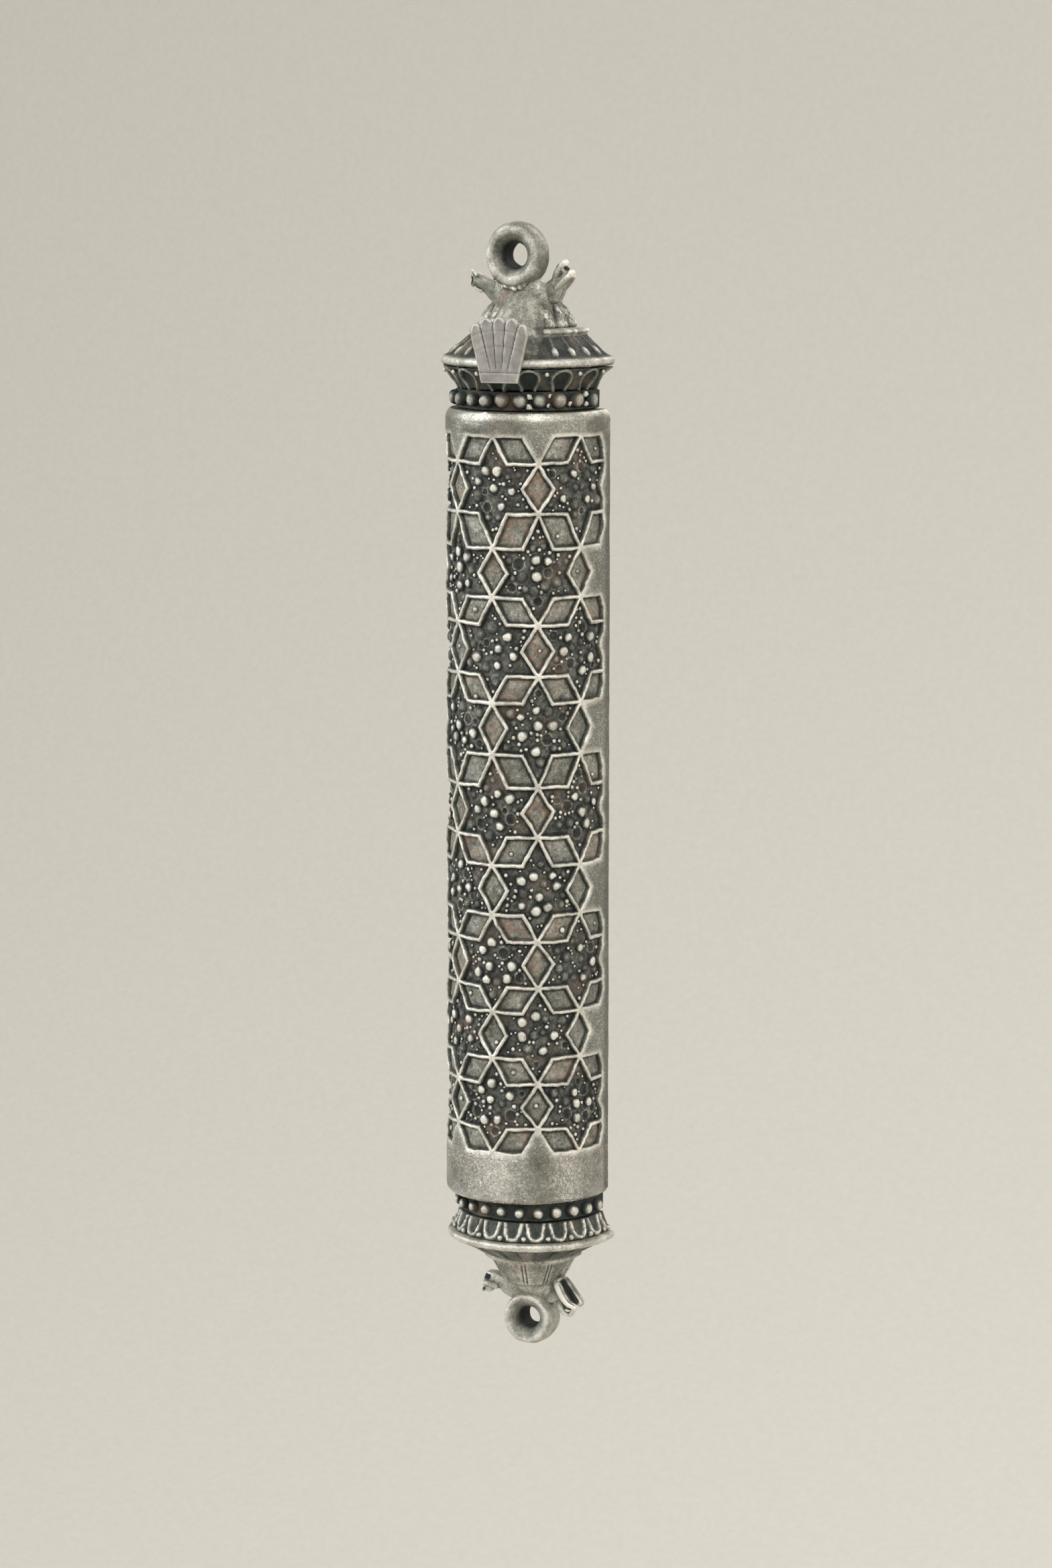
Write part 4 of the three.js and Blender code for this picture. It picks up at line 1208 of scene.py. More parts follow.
# ------------------------------------------------------------------ rings
def ring_solid(cx, cz, profile, sx, sz, seed, k=96):
    """profile [(r, y), ...] is a closed section turned about the hole's axis."""
    p = catmull(profile, 4, closed=True)
    ang = np.linspace(0, 2 * math.pi, k, endpoint=False)
    A, I = np.meshgrid(ang, np.arange(len(p)), indexing="ij")
    r, y = p[I, 0], p[I, 1]
    r = r * (1 + 0.014 * noise(np.cos(A) * 4, np.sin(A) * 4, 0, 2.2, seed)) + 0.04 * noise(np.cos(A) * r, np.sin(A) * r, y, 0.8, seed + 1)
    y = y + 0.06 * noise(np.cos(A) * r, np.sin(A) * r, y, 1.3, seed + 2)
    grow = smooth(p[:, 0].min() + 0.3, p[:, 0].max(), p[:, 0])[I]
    X, Z = r * np.cos(A) * (1 + (sx - 1) * grow), r * np.sin(A) * (1 + (sz - 1) * grow)
    return np.stack([X + cx, y, Z + cz], -1).reshape(-1, 3), grid_faces(k, len(p), wrap_u=True, wrap_v=True)


def ring_wear(cx, cz, bore, y_front, base, seed):
    def wear(co, nrm):
        x, y, z = co.T
        r = np.hypot(x - cx, z - cz)
        deep = smooth(y_front + 0.5, y_front + 1.9, y) * (1 - smooth(bore + 0.1, bore + 0.5, r))
        w = base + 0.12 * noise(x, y, z, 1.2, seed) + 0.08 * smooth(0.2, 0.9, -nrm[:, 1]) * smooth(bore + 0.9, bore + 1.3, r)
        return w - 0.50 * deep - 0.16 * (1 - smooth(bore + 0.2, bore + 0.9, r))
    return wear


def solder(points, radius, seed):
    """An uneven bright bead of solder along a seam."""
    rng = np.random.default_rng(seed)
    return [ball(np.array(p) + rng.normal(0, 0.09, 3), radius * rng.uniform(0.6, 1.5), 10, 7, lumpy=0.3, seed=seed + i) for i, p in enumerate(points)]


UPPER = (-0.35, 65.5)
seam = [(UPPER[0] + 3.3 * math.sin(a), -5.75 + 0.25 * abs(math.sin(a)), UPPER[1] - 3.98 * math.cos(a)) for a in np.radians(np.linspace(-50, 34, 26))]
fused_piece(
    "upper_ring_cast", ("upper_hanging_ring",),
    [ring_solid(*UPPER, [(1.48, -2.55), (1.46, -3.9), (1.55, -4.7), (1.85, -5.4), (2.22, -5.82), (2.42, -5.98), (2.75, -6.24), (3.2, -6.32), (3.62, -6.05), (3.92, -5.3), (4.0, -4.3), (3.9, -3.3), (3.5, -2.55), (2.6, -2.35)], 0.95, 1.02, 401)] + solder(seam, 0.27, 405),
    ring_wear(*UPPER, 1.46, -6.3, 0.54, 402), MAT_RING, lumps=0.02, voxel=0.08, steps=3, hollow=4.0, seed=403,
)


# ------------------------------------------------------------------ cast plates and leaves
def cast_plate(name, outline, y_front, y_back, edge, node, mat, slot="antique_pewter", grid=0.22, front_relief=None, wear_fn=None, place=None, holes=(), smooth_deg=60, soup_only=False, seed=0):
    """A flat casting with rounded edges, drawn in XZ. edge is how far in the rounding reaches."""
    poly = [tuple(q) for q in outline]
    area = sum(a[0] * b[1] - b[0] * a[1] for a, b in zip(poly, poly[1:] + poly[:1]))
    if area < 0:
        poly = poly[::-1]
    ring = divide(poly, 0.16)
    a, b = segs_of([ring])
    lo, hi = np.array(ring).min(0), np.array(ring).max(0)
    pts = []
    r = np.array(ring)
    tan = np.roll(r, -1, 0) - np.roll(r, 1, 0)
    tan /= np.maximum(np.linalg.norm(tan, axis=1)[:, None], 1e-9)
    nrm = np.stack([-tan[:, 1], tan[:, 0]], 1)
    for k in (0.25, 0.55, 1.0):
        q = r + nrm * edge * k
        q = q[inside_poly(q, ring)]
        q = q[seg_dist(q, a, b) > edge * k * 0.92]
        pts += [tuple(x) for x in q]
    gx, gz = np.meshgrid(np.arange(lo[0], hi[0], grid), np.arange(lo[1], hi[1], grid), indexing="ij")
    g = np.stack([gx.ravel(), gz.ravel()], 1)
    g = g[inside_poly(g, ring)]
    g = g[seg_dist(g, a, b) > edge * 1.15]
    pts += [tuple(x) for x in g]
    co, tri = cdt([ring], pts)
    mid = co[tri].mean(1)
    tri = tri[inside_poly(mid, ring)]
    x, y = co[tri[:, 1]] - co[tri[:, 0]], co[tri[:, 2]] - co[tri[:, 0]]
    f = x[:, 0] * y[:, 1] - x[:, 1] * y[:, 0] < 0
    tri[f] = tri[f][:, ::-1]
    e = seg_dist(co, a, b)
    k = np.clip(e / edge, 0, 1)
    rise = np.sqrt(np.clip(1 - (1 - k) ** 2, 0, 1))
    half = (y_back - y_front) / 2
    drop = min(edge, half)
    mid_y = (y_front + y_back) / 2
    yf = y_front + drop * (1 - rise)
    if front_relief is not None:
        yf = yf - front_relief(co[:, 0], co[:, 1], e)
    yb = y_back - drop * (1 - rise)
    yf = yf + 0.02 * noise(co[:, 0], co[:, 1], 0, 0.7, seed + 3)
    n = len(co)
    front = np.stack([co[:, 0], yf, co[:, 1]], 1)
    backp = np.stack([co[:, 0], yb, co[:, 1]], 1)
    pos = np.vstack([front, backp])
    faces = [tuple(t) for t in tri] + [(t[2] + n, t[1] + n, t[0] + n) for t in tri]
    on = {}
    from collections import defaultdict

    count = set()
    for t in tri:
        for i in range(3):
            count.add((t[i], t[(i + 1) % 3]))
    for i, j in count:
        if (j, i) not in count:
            faces.append((j, i, i + n, j + n))
    w = wear_fn(co[:, 0], co[:, 1], e) if wear_fn else 0.55 + 0.2 * (1 - smooth(0, edge, e)) + 0.12 * noise(co[:, 0], co[:, 1], 0, 1.0, seed)
    wear = np.concatenate([np.broadcast_to(w, (n,)), np.full(n, 0.5)])
    if place is not None:
        pos = place(pos)
    if soup_only:
        return pos, faces, wear
    return build(name, pos, faces, mat, "case_front", (node,), slot, smooth_deg=smooth_deg, wear=wear)


def plate_solid(outline, y0, y1, edge, relief=None, seed=0):
    co, faces, _ = cast_plate("", catmull(outline, 6, closed=True), y0, y1, edge, None, None, soup_only=True, grid=0.18, front_relief=relief, seed=seed)
    return co, faces


def leaf_piece(name, node, parts, wear, seed, hollow=4.5, steps=3):
    fused_piece(name, (node,), parts, wear, MAT_RING, lumps=0.025, voxel=0.07, steps=steps, hollow=hollow, seed=seed)


def upper_left_wear_and_top_light(co, nrm):
    x, y, z = co.T
    mouth = smooth(0.75, 0.35, np.hypot(x + 6.95, z - 62.25))
    # faces turned upwards are painted lighter (the nrm z term): painted light from above
    return 0.52 + 0.14 * noise(x, y, z, 0.8, 411) + 0.2 * smooth(0.5, 0.9, nrm[:, 2]) - 0.7 * mouth


def upper_right_wear(co, nrm):
    x, y, z = co.T
    tips = np.maximum(smooth(0.62, 0.4, np.hypot(x - 5.85, z - 64.55)), smooth(0.62, 0.4, np.hypot(x - 6.8, z - 63.35)))
    notch = smooth(0.45, 0.15, np.hypot(x - 6.15, z - 64.0)) * smooth(-0.2, 0.5, -nrm[:, 1])
    return 0.56 + 0.14 * noise(x, y, z, 0.9, 421) + 0.34 * tips - 0.6 * notch


leaf_piece(
    "upper_left_leaf_cast", "upper_left_leaf",
    [
        plate_solid([(-1.6, 61.9), (-2.6, 61.9), (-3.6, 62.15), (-4.3, 62.35), (-5.3, 62.8), (-6.2, 63.3), (-6.7, 63.3), (-7.05, 62.7), (-7.05, 61.9), (-6.8, 61.4), (-6.1, 61.25), (-5.2, 60.75), (-4.5, 60.0), (-3.6, 59.5), (-2.4, 59.8), (-1.6, 60.4)], -4.6, -2.5, 0.85, lambda x, z, e: -0.55 * smooth(0.55, 0.2, np.hypot(x + 6.75, z - 62.3)), 411)
    ]
    + tube([(-5.9, -4.5, 62.95), (-6.35, -4.3, 63.3), (-6.75, -4.1, 63.55)], [0.26, 0.18, 0.09])
    + tube([(-5.2, -4.6, 60.95), (-5.6, -4.6, 61.1), (-6.1, -4.6, 61.45)], [0.18, 0.16, 0.14]),
    upper_left_wear_and_top_light, 411,
)
leaf_piece(
    "upper_right_leaf_cast", "upper_right_leaf",
    [
        plate_solid([(1.6, 61.4), (2.4, 61.6), (3.2, 62.2), (3.8, 62.6), (4.3, 63.3), (4.55, 64.2), (5.0, 64.6), (5.6, 64.7), (6.1, 64.1), (6.5, 63.5), (6.9, 63.1), (6.95, 62.7), (6.4, 61.9), (5.75, 61.2), (5.4, 60.4), (4.9, 59.7), (3.5, 59.5), (2.4, 59.8), (1.6, 60.4)], -4.5, -2.5, 0.9, lambda x, z, e: -0.25 * smooth(0.6, 0.2, np.hypot(x - 5.3, z - 63.3)) - 0.15 * smooth(1.2, 0.4, np.hypot(x - 4.2, z - 61.2)), 421),
        ball((5.85, -4.05, 64.55), 0.50, 18, 12, lumpy=0.1, seed=5), ball((6.8, -4.1, 63.32), 0.50, 18, 12, lumpy=0.1, seed=6),
    ]
    + tube([(4.6, -4.0, 62.2), (4.9, -4.2, 63.4), (5.5, -4.1, 64.4)], [0.55, 0.42, 0.36])
    + tube([(4.9, -4.0, 61.6), (5.9, -4.3, 62.5), (6.7, -4.1, 63.2)], [0.5, 0.42, 0.38]),
    upper_right_wear, 421,
)


# ------------------------------------------------------------------ emblem: a five-lobed shell fan
PLAQUE = {"turn": 9.0, "r": 11.35, "t": 0.95, "z0": 50.5, "h": 8.0, "w": 7.3, "foot": 4.6}
FAN = {"lobes": 5, "focus": 2.8, "cusp": 10.05, "outer_cusp": 9.2, "half_deg": 23.0}


def quad_path(start, segs, per=8):
    pts, p = [start], np.array(start, float)
    for s in segs:
        c, e = np.array(s[0], float), np.array(s[-1], float)
        for t in np.linspace(0, 1, per + 1)[1:]:
            pts.append(tuple((1 - t) ** 2 * p + 2 * t * (1 - t) * c + t * t * e))
        p = e
    return pts


def make_plaque():
    w, h, foot = PLAQUE["w"], PLAQUE["h"], PLAQUE["foot"]
    lobes, focus, cusp, outer = FAN["lobes"], FAN["focus"], FAN["cusp"], FAN["outer_cusp"]

    def at(i, r):
        a = math.radians(FAN["half_deg"] * (1 - 2 * i / lobes))
        return (r * math.sin(a), r * math.cos(a) - focus)

    segs = [((0.4 * w, 0.36 * h), at(0, outer))]
    for i in range(lobes):
        edge = i in (0, lobes - 1)
        tip = 2 * (h + focus) - cusp - (0.5 if edge else 0)
        segs.append((at(i + 0.5, tip), at(i + 1, outer if i == lobes - 1 else cusp)))
    segs.append(((-0.4 * w, 0.36 * h), (-foot / 2, 0)))
    outline = [(-foot / 2, 0)] + quad_path((foot / 2, 0), segs, 10)[:-1]

    def polar(x, z):
        a = np.degrees(np.arctan2(x, z + focus))
        return a, np.hypot(x, z + focus)

    def grooves(x, z):
        a, r = polar(x, z)
        pitch = 2 * FAN["half_deg"] / lobes
        off = np.abs((a + FAN["half_deg"]) % pitch - 0)
        off = np.minimum(off, pitch - off)
        inside = np.abs(a) < FAN["half_deg"] - 1.5
        return np.radians(off) * r, inside * smooth(4.2, 4.6, r), off / (pitch / 2)

    def relief(x, z, e):
        d, on, f = grooves(x, z)
        _, r = polar(x, z)
        pillow = np.sin(np.clip(f, 0, 1) * math.pi / 2) * smooth(5.0, 8.5, r)
        growth = bump_at(((r - 4.4) % 1.9) - 0.95, 0.14) * smooth(5.2, 5.6, r)
        return 0.12 * pillow * on - 0.13 * bump_at(d, 0.13) * on - 0.035 * growth - 0.10 - 0.08 * bump_at(z - 1.25, 0.14)

    def wear(x, z, e):
        d, on, _ = grooves(x, z)
        _, r = polar(x, z)
        growth = bump_at(((r - 4.4) % 1.9) - 0.95, 0.13) * smooth(5.2, 5.6, r)
        return 0.66 + 0.28 * (1 - smooth(0.02, 0.26, e)) - 0.42 * bump_at(d, 0.13) * on - 0.12 * growth - 0.30 * bump_at(z - 1.25, 0.13) + 0.07 * noise(x, z * 0.3, 0, 0.7, 91) + 0.05 * noise(x, z, 0, 0.5, 92)

    a = math.radians(PLAQUE["turn"])

    def place(p):
        q = p.copy()
        y = q[:, 1] - PLAQUE["r"]
        q[:, 0], q[:, 1] = p[:, 0] * math.cos(a) - y * math.sin(a), YC + p[:, 0] * math.sin(a) + y * math.cos(a)
        q[:, 2] = p[:, 2] + PLAQUE["z0"]
        return q

    return cast_plate("emblem_cast", outline, -PLAQUE["t"], 0.0, 0.26, "emblem_plaque", MAT_PLAQUE, "brushed_plaque", grid=0.14, front_relief=relief, wear_fn=wear, place=place, seed=431, smooth_deg=50)


make_plaque()

# ------------------------------------------------------------------ lower finial
LOWER_X = 0.6  # the whole lower finial sits this far to the right
bead_band(
    "lower_beads", "lower_bead_collar", -53.55, -51.25, 8.9,
    [1.8 + 14.3 * k for k in range(-6, 7)],
    -52.4, [0.66, 0.66, 0.68, 0.68, 0.66, 0.70, 0.70, 0.74, 0.78, 0.80, 0.80, 0.78, 0.76], (0.05, 1.0), 200, 501, dx=LOWER_X,
)


def lower_cornice_relief(T, S, R, Z):
    """U-shaped lunettes, open above, with a small ball between their feet."""
    pitch = 17.8
    c = (T - 10.9 + pitch / 2) % pitch - pitch / 2
    x = np.radians(c) * R
    zz = Z + 56.05
    a, base = 0.88, 1.15
    wide = a * (1 + 0.16 * np.clip(zz - base, 0, None))
    dist = np.where(zz > base, np.abs(np.abs(x) - wide), np.abs(np.hypot(x, (zz - base) * 1.05) - a))
    dist = dist + 0.06 * noise(T * 0.17, Z, 3, 0.3, 514)
    line = bump_at(dist, 0.42) * smooth(2.5, 2.2, zz)
    nick = noise(T * 0.17, Z, 7, 0.26, 513)
    d = -0.16 + (0.34 + 0.07 * nick) * line + 0.03 * noise(T * 0.17, Z, 0, 0.5, 511)
    wear = 0.26 + (0.72 + 0.26 * nick) * line + 0.12 * noise(T * 0.17, Z, 0, 1.0, 512)
    return d, wear


def lower_cornice_extra(soup):
    for k in range(-6, 6):
        t = 17.8 * (k + 0.5) + 10.9
        if abs(t) < 94:
            section_ball(soup, t, 9.9, -55.55, 0.32, wear=(0.5, 1.0), lumpy=0.25, seed=k + 40, seg=12, rings=8)


moulding("lower_cornice_cast", [(9.7, -56.08), (10.0, -56.0), (9.65, -55.3), (9.4, -54.7), (9.15, -54.1), (9.0, -53.62), (8.6, -53.58)], lower_cornice_relief, MAT_CORNICE, ("lower_cornice",), dt=0.45, step=0.09, extra=lower_cornice_extra, dx=LOWER_X)


def lower_tier_relief(T, S, R, Z):
    """A worn round brim over an ovolo with shallow petal facets, closed by a fine ridge."""
    pitch = 15.0
    c = (T - 6 + pitch / 2) % pitch - pitch / 2
    zone = smooth(-57.1, -57.4, Z) * smooth(-59.2, -58.95, Z)
    petal = np.sqrt(np.clip(1 - (c / (pitch * 0.47)) ** 2, 0, 1))
    brim = smooth(-57.15, -56.95, Z)
    ridge = smooth(-59.25, -59.4, Z)
    d = zone * (0.18 * petal - 0.12) + 0.04 * noise(T * 0.17, Z, 0, 0.6, 521)
    wear = 0.48 + 0.12 * noise(T * 0.17, Z, 0, 1.6, 522) - zone * 0.22 * (1 - petal) - zone * 0.12 * smooth(10, 50, T) + brim * (0.36 - 0.2 * smooth(-56.5, -56.1, Z)) + ridge * 0.26
    return d, wear


moulding("lower_tier_cast", [(5.2, -59.85), (5.6, -59.85), (5.92, -59.72), (6.0, -59.5), (5.95, -59.3), (6.5, -58.95), (7.3, -58.5), (8.3, -57.95), (9.2, -57.45), (9.75, -57.22), (10.25, -57.08), (10.52, -56.8), (10.56, -56.5), (10.4, -56.22), (10.0, -56.1)], lower_tier_relief, MAT_CAST, ("lower_tier",), dt=0.5, step=0.1, dx=LOWER_X)


def cone_relief(T, S, R, Z):
    """Hanging tongues with round ends, double grooves between them."""
    pitch = 40.0
    c = (T - 33 + pitch / 2) % pitch - pitch / 2
    half = np.radians(pitch / 2) * R
    x = half - np.abs(np.radians(c) * R)
    zone = smooth(-63.15, -62.85, Z)
    pair = bump_at(x - 0.22, 0.17)
    d = zone * (-0.26 * pair + 0.03) + 0.02 * noise(T * 0.17, Z, 0, 0.7, 531)
    return d, 0.5


def cone_wear(co, nrm):
    x, y, z = co.T
    return 0.60 + 0.13 * noise(x, y, z, 1.5, 532) + 0.07 * noise(x, y, z * 0.3, 0.4, 534) + 0.08 * smooth(-62.9, -63.6, z)


co, faces, _ = moulding_solid([(2.2, -64.2), (2.7, -63.7), (3.05, -63.25), (3.5, -62.95), (3.85, -62.4), (4.3, -61.6), (4.75, -60.8), (5.1, -60.1), (5.15, -59.9), (4.7, -59.9)], cone_relief, 0.8, 0.1)
lx = np.array([LOWER_X, 0, 0])
LOWER_NECK = loft([(-65.6, 0.1, -2.5, 2.1, 1.0), (-65.0, 0.05, -2.55, 2.9, 1.35), (-64.3, 0.0, -2.65, 3.25, 1.6), (-63.6, 0.0, -2.8, 3.3, 1.8), (-62.9, 0.0, -2.9, 3.4, 1.9), (-62.0, 0.0, -2.9, 3.3, 1.9)])
fused_piece("fluted_cone_cast", ("fluted_cone",), [(co + lx, faces), (LOWER_NECK[0] + lx, LOWER_NECK[1])], cone_wear, MAT_CAST, lumps=0.02, voxel=0.08, steps=4, hollow=3.6, seed=535)

LOWER = (LOWER_X + 0.2, -67.75)
seam = [(LOWER[0] + 2.75 * math.sin(a), -3.9, LOWER[1] + 2.75 * math.cos(a)) for a in np.radians(np.linspace(-60, 45, 20))]
fused_piece(
    "lower_ring_cast", ("lower_hanging_ring",),
    [ring_solid(*LOWER, [(1.22, -0.75), (1.22, -2.2), (1.32, -2.95), (1.55, -3.5), (1.95, -3.95), (2.35, -4.3), (2.75, -4.5), (3.05, -4.35), (3.3, -3.7), (3.42, -2.7), (3.35, -1.6), (3.0, -0.85), (2.1, -0.65)], 1.0, 0.99, 541)] + solder(seam, 0.2, 545),
    ring_wear(*LOWER, 1.22, -4.4, 0.61, 542), MAT_RING, lumps=0.02, voxel=0.08, steps=3, hollow=3.5, seed=543,
)


def lower_left_wear(co, nrm):
    x, y, z = co.T
    curl = smooth(0.55, 0.25, np.hypot((x + 5.35) * 0.7, z + 63.25)) * smooth(0.2, 0.7, -nrm[:, 1])
    return 0.66 + 0.12 * noise(x, y, z, 0.8, 551) - 0.55 * curl - 0.4 * smooth(0.3, 0.12, np.hypot(x + 5.6, z + 64.85)) * smooth(0.2, 0.7, -nrm[:, 1])


leaf_piece(
    "lower_left_leaf_cast", "lower_left_leaf",
    [
        plate_solid([(p[0] + LOWER_X, p[1]) for p in [(-1.8, -63.4), (-2.8, -63.2), (-3.7, -62.9), (-4.9, -62.5), (-5.9, -62.55), (-6.4, -63.1), (-6.5, -63.9), (-6.3, -64.7), (-5.9, -65.25), (-5.4, -65.15), (-5.0, -64.7), (-4.3, -64.6), (-3.6, -65.2), (-2.6, -65.6), (-1.8, -65.4)]], -3.4, -1.5, 0.6, lambda x, z, e: -0.45 * smooth(0.5, 0.2, np.hypot((x + 5.3) * 0.6, z + 63.2)), 551)
    ]
    + tube([(-3.9, -3.3, -64.3), (-4.9, -3.5, -64.0), (-5.7, -3.4, -64.1)], [0.38, 0.34, 0.26])
    + tube([(-5.2, -3.2, -64.9), (-5.65, -3.3, -65.0), (-5.9, -3.2, -64.7)], [0.2, 0.2, 0.18]),
    lower_left_wear, 551,
)


def lower_right_wear(co, nrm):
    x, y, z = co.T
    a, b = np.array([[4.75, -63.2], [5.4, -64.5], [6.2, -65.4]]), np.array([[5.4, -64.5], [6.2, -65.4], [6.95, -65.85]])
    ribbon = smooth(0.45, 0.2, seg_dist(np.stack([x, z], 1), a, b)) * smooth(-0.2, 0.3, -nrm[:, 1])
    c, d = np.array([[5.3, -62.9], [6.0, -63.8]]), np.array([[6.0, -63.8], [7.0, -65.1]])
    channel = smooth(0.55, 0.3, seg_dist(np.stack([x, z], 1), c, d))
    curl = smooth(0.42, 0.22, np.hypot(x - 6.2, z + 66.35)) * smooth(0.1, 0.6, -nrm[:, 1])
    return 0.60 + 0.12 * noise(x, y, z, 0.8, 561) + 0.40 * ribbon - 0.50 * channel * (1 - ribbon) - 0.5 * curl


leaf_piece(
    "lower_right_leaf_cast", "lower_right_leaf",
    [
        plate_solid([(1.8, -63.2), (3.0, -62.9), (4.2, -62.5), (5.2, -62.3), (5.9, -62.9), (6.6, -63.8), (7.4, -64.8), (7.75, -65.5), (7.2, -66.0), (6.3, -65.7), (5.5, -65.1), (4.9, -65.3), (3.8, -65.7), (2.6, -65.7), (1.8, -65.2)], -3.3, -1.4, 0.45, lambda x, z, e: -0.5 * smooth(0.6, 0.25, np.abs((x - 6.0) * 0.8 + (z + 63.8) * 0.62) ) * smooth(4.6, 5.2, x), 561),
    ]
    + tube([(4.3, -3.1, -62.9), (4.75, -3.45, -63.5), (5.4, -3.6, -64.5), (6.2, -3.6, -65.4), (7.05, -3.4, -65.8)], [0.34, 0.38, 0.36, 0.34, 0.30])
    + tube([(4.8, -2.6, -65.0), (5.0, -3.0, -66.0), (5.6, -3.2, -66.7), (6.4, -3.2, -66.75), (6.95, -3.2, -66.1)], [0.55, 0.42, 0.34, 0.34, 0.30])
    + [plate_solid([(4.6, -64.8), (5.6, -65.0), (6.6, -65.8), (6.8, -66.2), (6.2, -66.5), (5.5, -66.4), (5.0, -65.9)], -2.9, -1.6, 0.4)],
    lower_right_wear, 561,
)


# ------------------------------------------------------------------ wall plate, springs, rivets, tape
def rounded_box(x0, x1, y0, y1, z0, z1, r, seg=4, nx=1, nz=1, corner_r=None):
    """A box with rounded edges, made as a rounded rectangle in XZ with a rounded lip."""
    cr = corner_r if corner_r is not None else r
    pts = []
    for cx, cz, a0 in ((x1 - cr, z1 - cr, 0), (x0 + cr, z1 - cr, 90), (x0 + cr, z0 + cr, 180), (x1 - cr, z0 + cr, 270)):
        for k in range(seg + 1):
            a = math.radians(a0 + 90 * k / seg)
            pts.append((cx + cr * math.cos(a), cz + cr * math.sin(a), math.cos(a), math.sin(a)))
    layers = []
    for k in range(seg + 1):
        a = math.radians(90 * k / seg)
        layers.append((y0 + r * (1 - math.sin(a)), r * (1 - math.cos(a))))
    layers = layers[::-1]
    front = [(y, d) for y, d in layers]
    backl = [(y1 - (y - y0), d) for y, d in layers[::-1]]
    co, n = [], len(pts)
    for y, d in front + backl:
        for x, z, nx_, nz_ in pts:
            co.append((x - nx_ * d, y, z - nz_ * d))
    m = len(front + backl)
    faces = []
    for j in range(m - 1):
        for i in range(n):
            k = (i + 1) % n
            faces.append((j * n + i, (j + 1) * n + i, (j + 1) * n + k, j * n + k))
    faces += [tuple(range(n)), tuple((m - 1) * n + i for i in range(n - 1, -1, -1))]
    return co, faces


def fix_normals(o):
    import bmesh

    bm = bmesh.new()
    bm.from_mesh(o.data)
    bmesh.ops.recalc_face_normals(bm, faces=bm.faces)
    bm.to_mesh(o.data)
    bm.free()


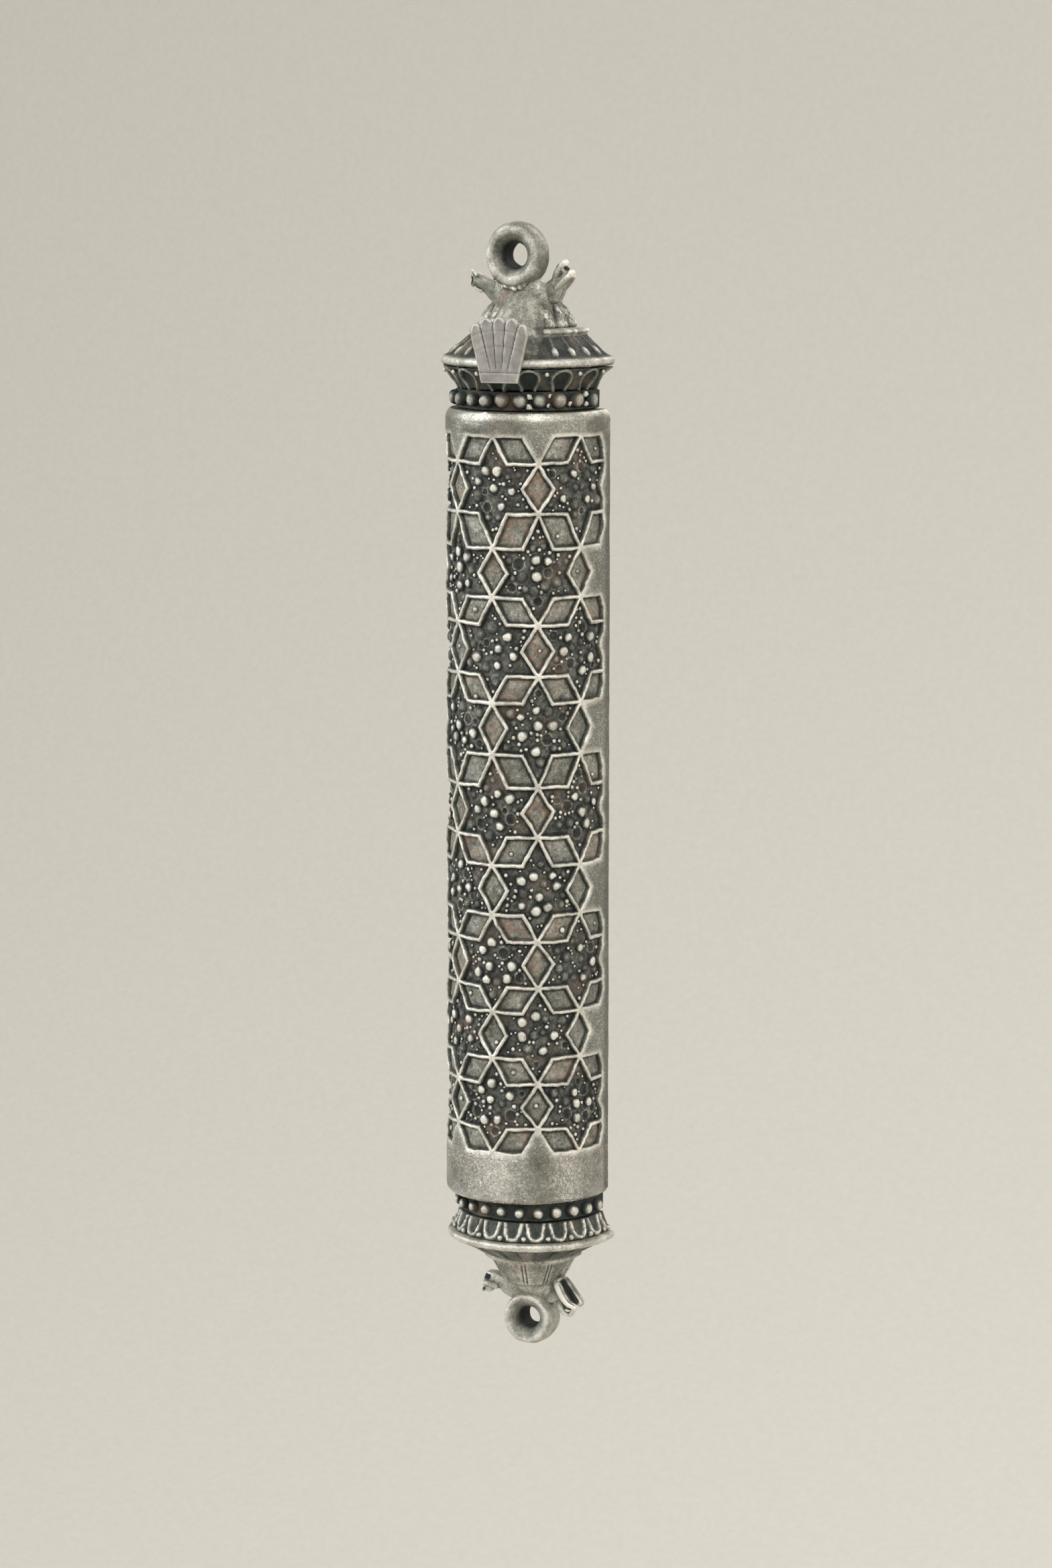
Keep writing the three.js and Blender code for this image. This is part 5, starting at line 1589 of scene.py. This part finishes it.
def make_back():
    lo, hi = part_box("back_cover")
    x0, x1, y0, y1, z0, z1 = (v / MM for v in (lo[0], hi[0], lo[1], hi[1], lo[2], hi[2]))
    co, f = rounded_box(x0, x1, y0, y1, z0, z1, 0.16, 4, corner_r=0.5)
    o = build("wall_plate_sheet", co, f, MAT_PLATE, "wall_plate", ("back_cover",), "plain_pewter", smooth_deg=40)
    fix_normals(o)
    lo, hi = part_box("adhesive_strip")
    x0, x1, y0, y1, z0, z1 = (v / MM for v in (lo[0], hi[0], lo[1], hi[1], lo[2], hi[2]))
    soup = Soup()
    # foam with a slightly bulging, pitted edge, made as a grid of skins
    n_edge = []
    outline = divide([(x0 + 0.15, z0 + 0.15), (x1 - 0.15, z0 + 0.15), (x1 - 0.15, z1 - 0.15), (x0 + 0.15, z1 - 0.15)], 0.5)
    p = np.array(outline)
    cen = np.array([(x0 + x1) / 2, (z0 + z1) / 2])
    nrm = np.zeros_like(p)
    nrm[:, 0] = np.where(p[:, 0] >= x1 - 0.16, 1, np.where(p[:, 0] <= x0 + 0.16, -1, 0))
    nrm[:, 1] = np.where(p[:, 1] >= z1 - 0.16, 1, np.where(p[:, 1] <= z0 + 0.16, -1, 0))
    co, layers = [], [(y0, 0.0), (y0 + 0.1, 0.08), ((y0 + y1) / 2, 0.14), (y1 - 0.1, 0.08), (y1, 0.0)]
    for y, d in layers:
        dd = d + (0.05 * noise(p[:, 0], p[:, 1], y, 0.6, 611) - 0.05 if d else 0)
        q = p + nrm * np.asarray(dd).reshape(-1, 1)
        co.append(np.stack([q[:, 0], np.full(len(q), y), q[:, 1]], 1))
    n, m = len(p), len(layers)
    co = np.concatenate(co)
    faces = [(j * n + i, j * n + (i + 1) % n, (j + 1) * n + (i + 1) % n, (j + 1) * n + i) for j in range(m - 1) for i in range(n)]
    faces += [tuple(range(n - 1, -1, -1)), tuple((m - 1) * n + i for i in range(n))]
    strip = build("foam_tape", co, faces, MAT_FOAM, "wall_plate", ("adhesive_strip",), "adhesive_foam", smooth_deg=40)
    fix_normals(strip)
    for up, side in ((1, "upper"), (-1, "lower")):
        end = (BODY_TOP - 1.5) if up > 0 else (BODY_BOTTOM + 1.5)
        foot = -1.9
        path = catmull([(foot - 0.17, end - up * 4.2), (foot - 0.17, end - up * 2.6), (foot - 0.19, end - up * 1.35), (foot - 0.6, end - up * 1.1), (-3.7, end - up * 0.93), (-4.25, end - up * 0.35), (-4.6, end - up * 0.28), (-4.95, end - up * 0.35), (-5.45, end - up * 0.93), (-6.6, end - up * 1.32)], 6)
        d = np.gradient(path, axis=0)
        d /= np.linalg.norm(d, axis=1)[:, None]
        nn = np.stack([-d[:, 1], d[:, 0]], 1)
        sec = [(-2.2, -0.12), (-2.12, -0.17), (2.12, -0.17), (2.2, -0.12), (2.2, 0.12), (2.12, 0.17), (-2.12, 0.17), (-2.2, 0.12)]
        co, k = [], len(sec)
        for q, m_ in zip(path, nn):
            for x, h in sec:
                co.append((x, q[0] + m_[0] * h, q[1] + m_[1] * h))
        n = len(path)
        faces = [(i * k + j, i * k + (j + 1) % k, (i + 1) * k + (j + 1) % k, (i + 1) * k + j) for i in range(n - 1) for j in range(k)]
        faces += [tuple(range(k - 1, -1, -1)), tuple((n - 1) * k + j for j in range(k))]
        o = build(f"leaf_spring_{side}", co, faces, MAT_STEEL, "wall_plate", (f"cover_spring_{side}",), "spring_steel", smooth_deg=35)
        fix_normals(o)
        prof = catmull([(0.0, -2.68), (0.45, -2.66), (0.85, -2.56), (1.12, -2.38), (1.15, -2.26), (0.6, -2.25)], 4)
        prof = np.vstack([prof, [(0.6, -0.9), (0.0, -0.9)]])
        ang = np.linspace(0, 2 * math.pi, 32, endpoint=False)
        A, I = np.meshgrid(ang, np.arange(len(prof)), indexing="ij")
        co = np.stack([prof[I, 0] * np.cos(A), prof[I, 1], prof[I, 0] * np.sin(A) + end - up * 2.6], -1).reshape(-1, 3)
        o = build(f"rivet_{side}_turned", co, grid_faces(32, len(prof), wrap_u=True), MAT_STEEL, "wall_plate", (f"rivet_{side}",), "spring_steel", smooth_deg=35)
        import bmesh

        bm = bmesh.new()
        bm.from_mesh(o.data)
        bmesh.ops.remove_doubles(bm, verts=bm.verts, dist=1e-7)
        bmesh.ops.recalc_face_normals(bm, faces=bm.faces)
        bm.to_mesh(o.data)
        bm.free()


make_back()


def make_scroll():
    ty, r_out = -6.1, 3.4
    z0, z1 = -42.8, 37.2
    turns, thick = 4.2, 0.26
    k = int(turns * 48)
    a = np.linspace(0, turns * 2 * math.pi, k)
    r = 1.15 + (r_out - 0.15 - 1.15) * a / a.max()
    outer = np.stack([r * np.cos(a), r * np.sin(a)], 1)
    inner = np.stack([(r - thick) * np.cos(a), (r - thick) * np.sin(a)], 1)
    zs = np.linspace(z0, z1, 60)
    co = []
    for z in zs:
        wob = 1 + 0.012 * noise(np.cos(a) * 2, np.sin(a) * 2, z, 14.0, 701)
        co.append(np.c_[outer[:, 0] * wob, ty + outer[:, 1] * wob, np.full(k, z)])
    for z in zs:
        wob = 1 + 0.012 * noise(np.cos(a) * 2, np.sin(a) * 2, z, 14.0, 701)
        co.append(np.c_[inner[:, 0] * wob, ty + inner[:, 1] * wob, np.full(k, z)])
    co = np.concatenate(co)
    m = len(zs)
    faces = []
    for j in range(m - 1):
        for i in range(k - 1):
            faces.append((j * k + i, j * k + i + 1, (j + 1) * k + i + 1, (j + 1) * k + i))
            o = m * k
            faces.append((o + j * k + i, o + (j + 1) * k + i, o + (j + 1) * k + i + 1, o + j * k + i + 1))
    o = m * k
    for i in range(k - 1):
        faces.append((i, o + i, o + i + 1, i + 1))
        t = (m - 1) * k
        faces.append((t + i, t + i + 1, o + t + i + 1, o + t + i))
    for j in range(m - 1):
        faces.append((j * k, (j + 1) * k, o + (j + 1) * k, o + j * k))
        faces.append((j * k + k - 1, o + j * k + k - 1, o + (j + 1) * k + k - 1, (j + 1) * k + k - 1))
    build("rolled_parchment", co, faces, MAT_PARCHMENT, "scroll", ("parchment_scroll",), "parchment", smooth_deg=50)
    prof = [(3.55, -45.1), (3.87, -45.1), (3.9, -45.0), (3.9, 40.5), (3.87, 40.6), (3.55, 40.6)]
    p, _, _ = polyline(prof + [prof[0]], 4.0)
    p = p[:-1]
    ang = np.linspace(0, 2 * math.pi, 64, endpoint=False)
    A, I = np.meshgrid(ang, np.arange(len(p)), indexing="ij")
    co = np.stack([p[I, 0] * np.cos(A), ty + p[I, 0] * np.sin(A), p[I, 1]], -1).reshape(-1, 3)
    build("clear_sleeve", co, grid_faces(64, len(p), wrap_u=True, wrap_v=True), MAT_FILM, "scroll", ("scroll_sleeve",), "clear_film", smooth_deg=35)


make_scroll()

# emblem pins are the CAD solids themselves
for pin in ("emblem_pin_left", "emblem_pin_right"):
    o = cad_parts[pin]
    o.data.materials.clear()
    o.data.materials.append(MAT_SHELL_IN)
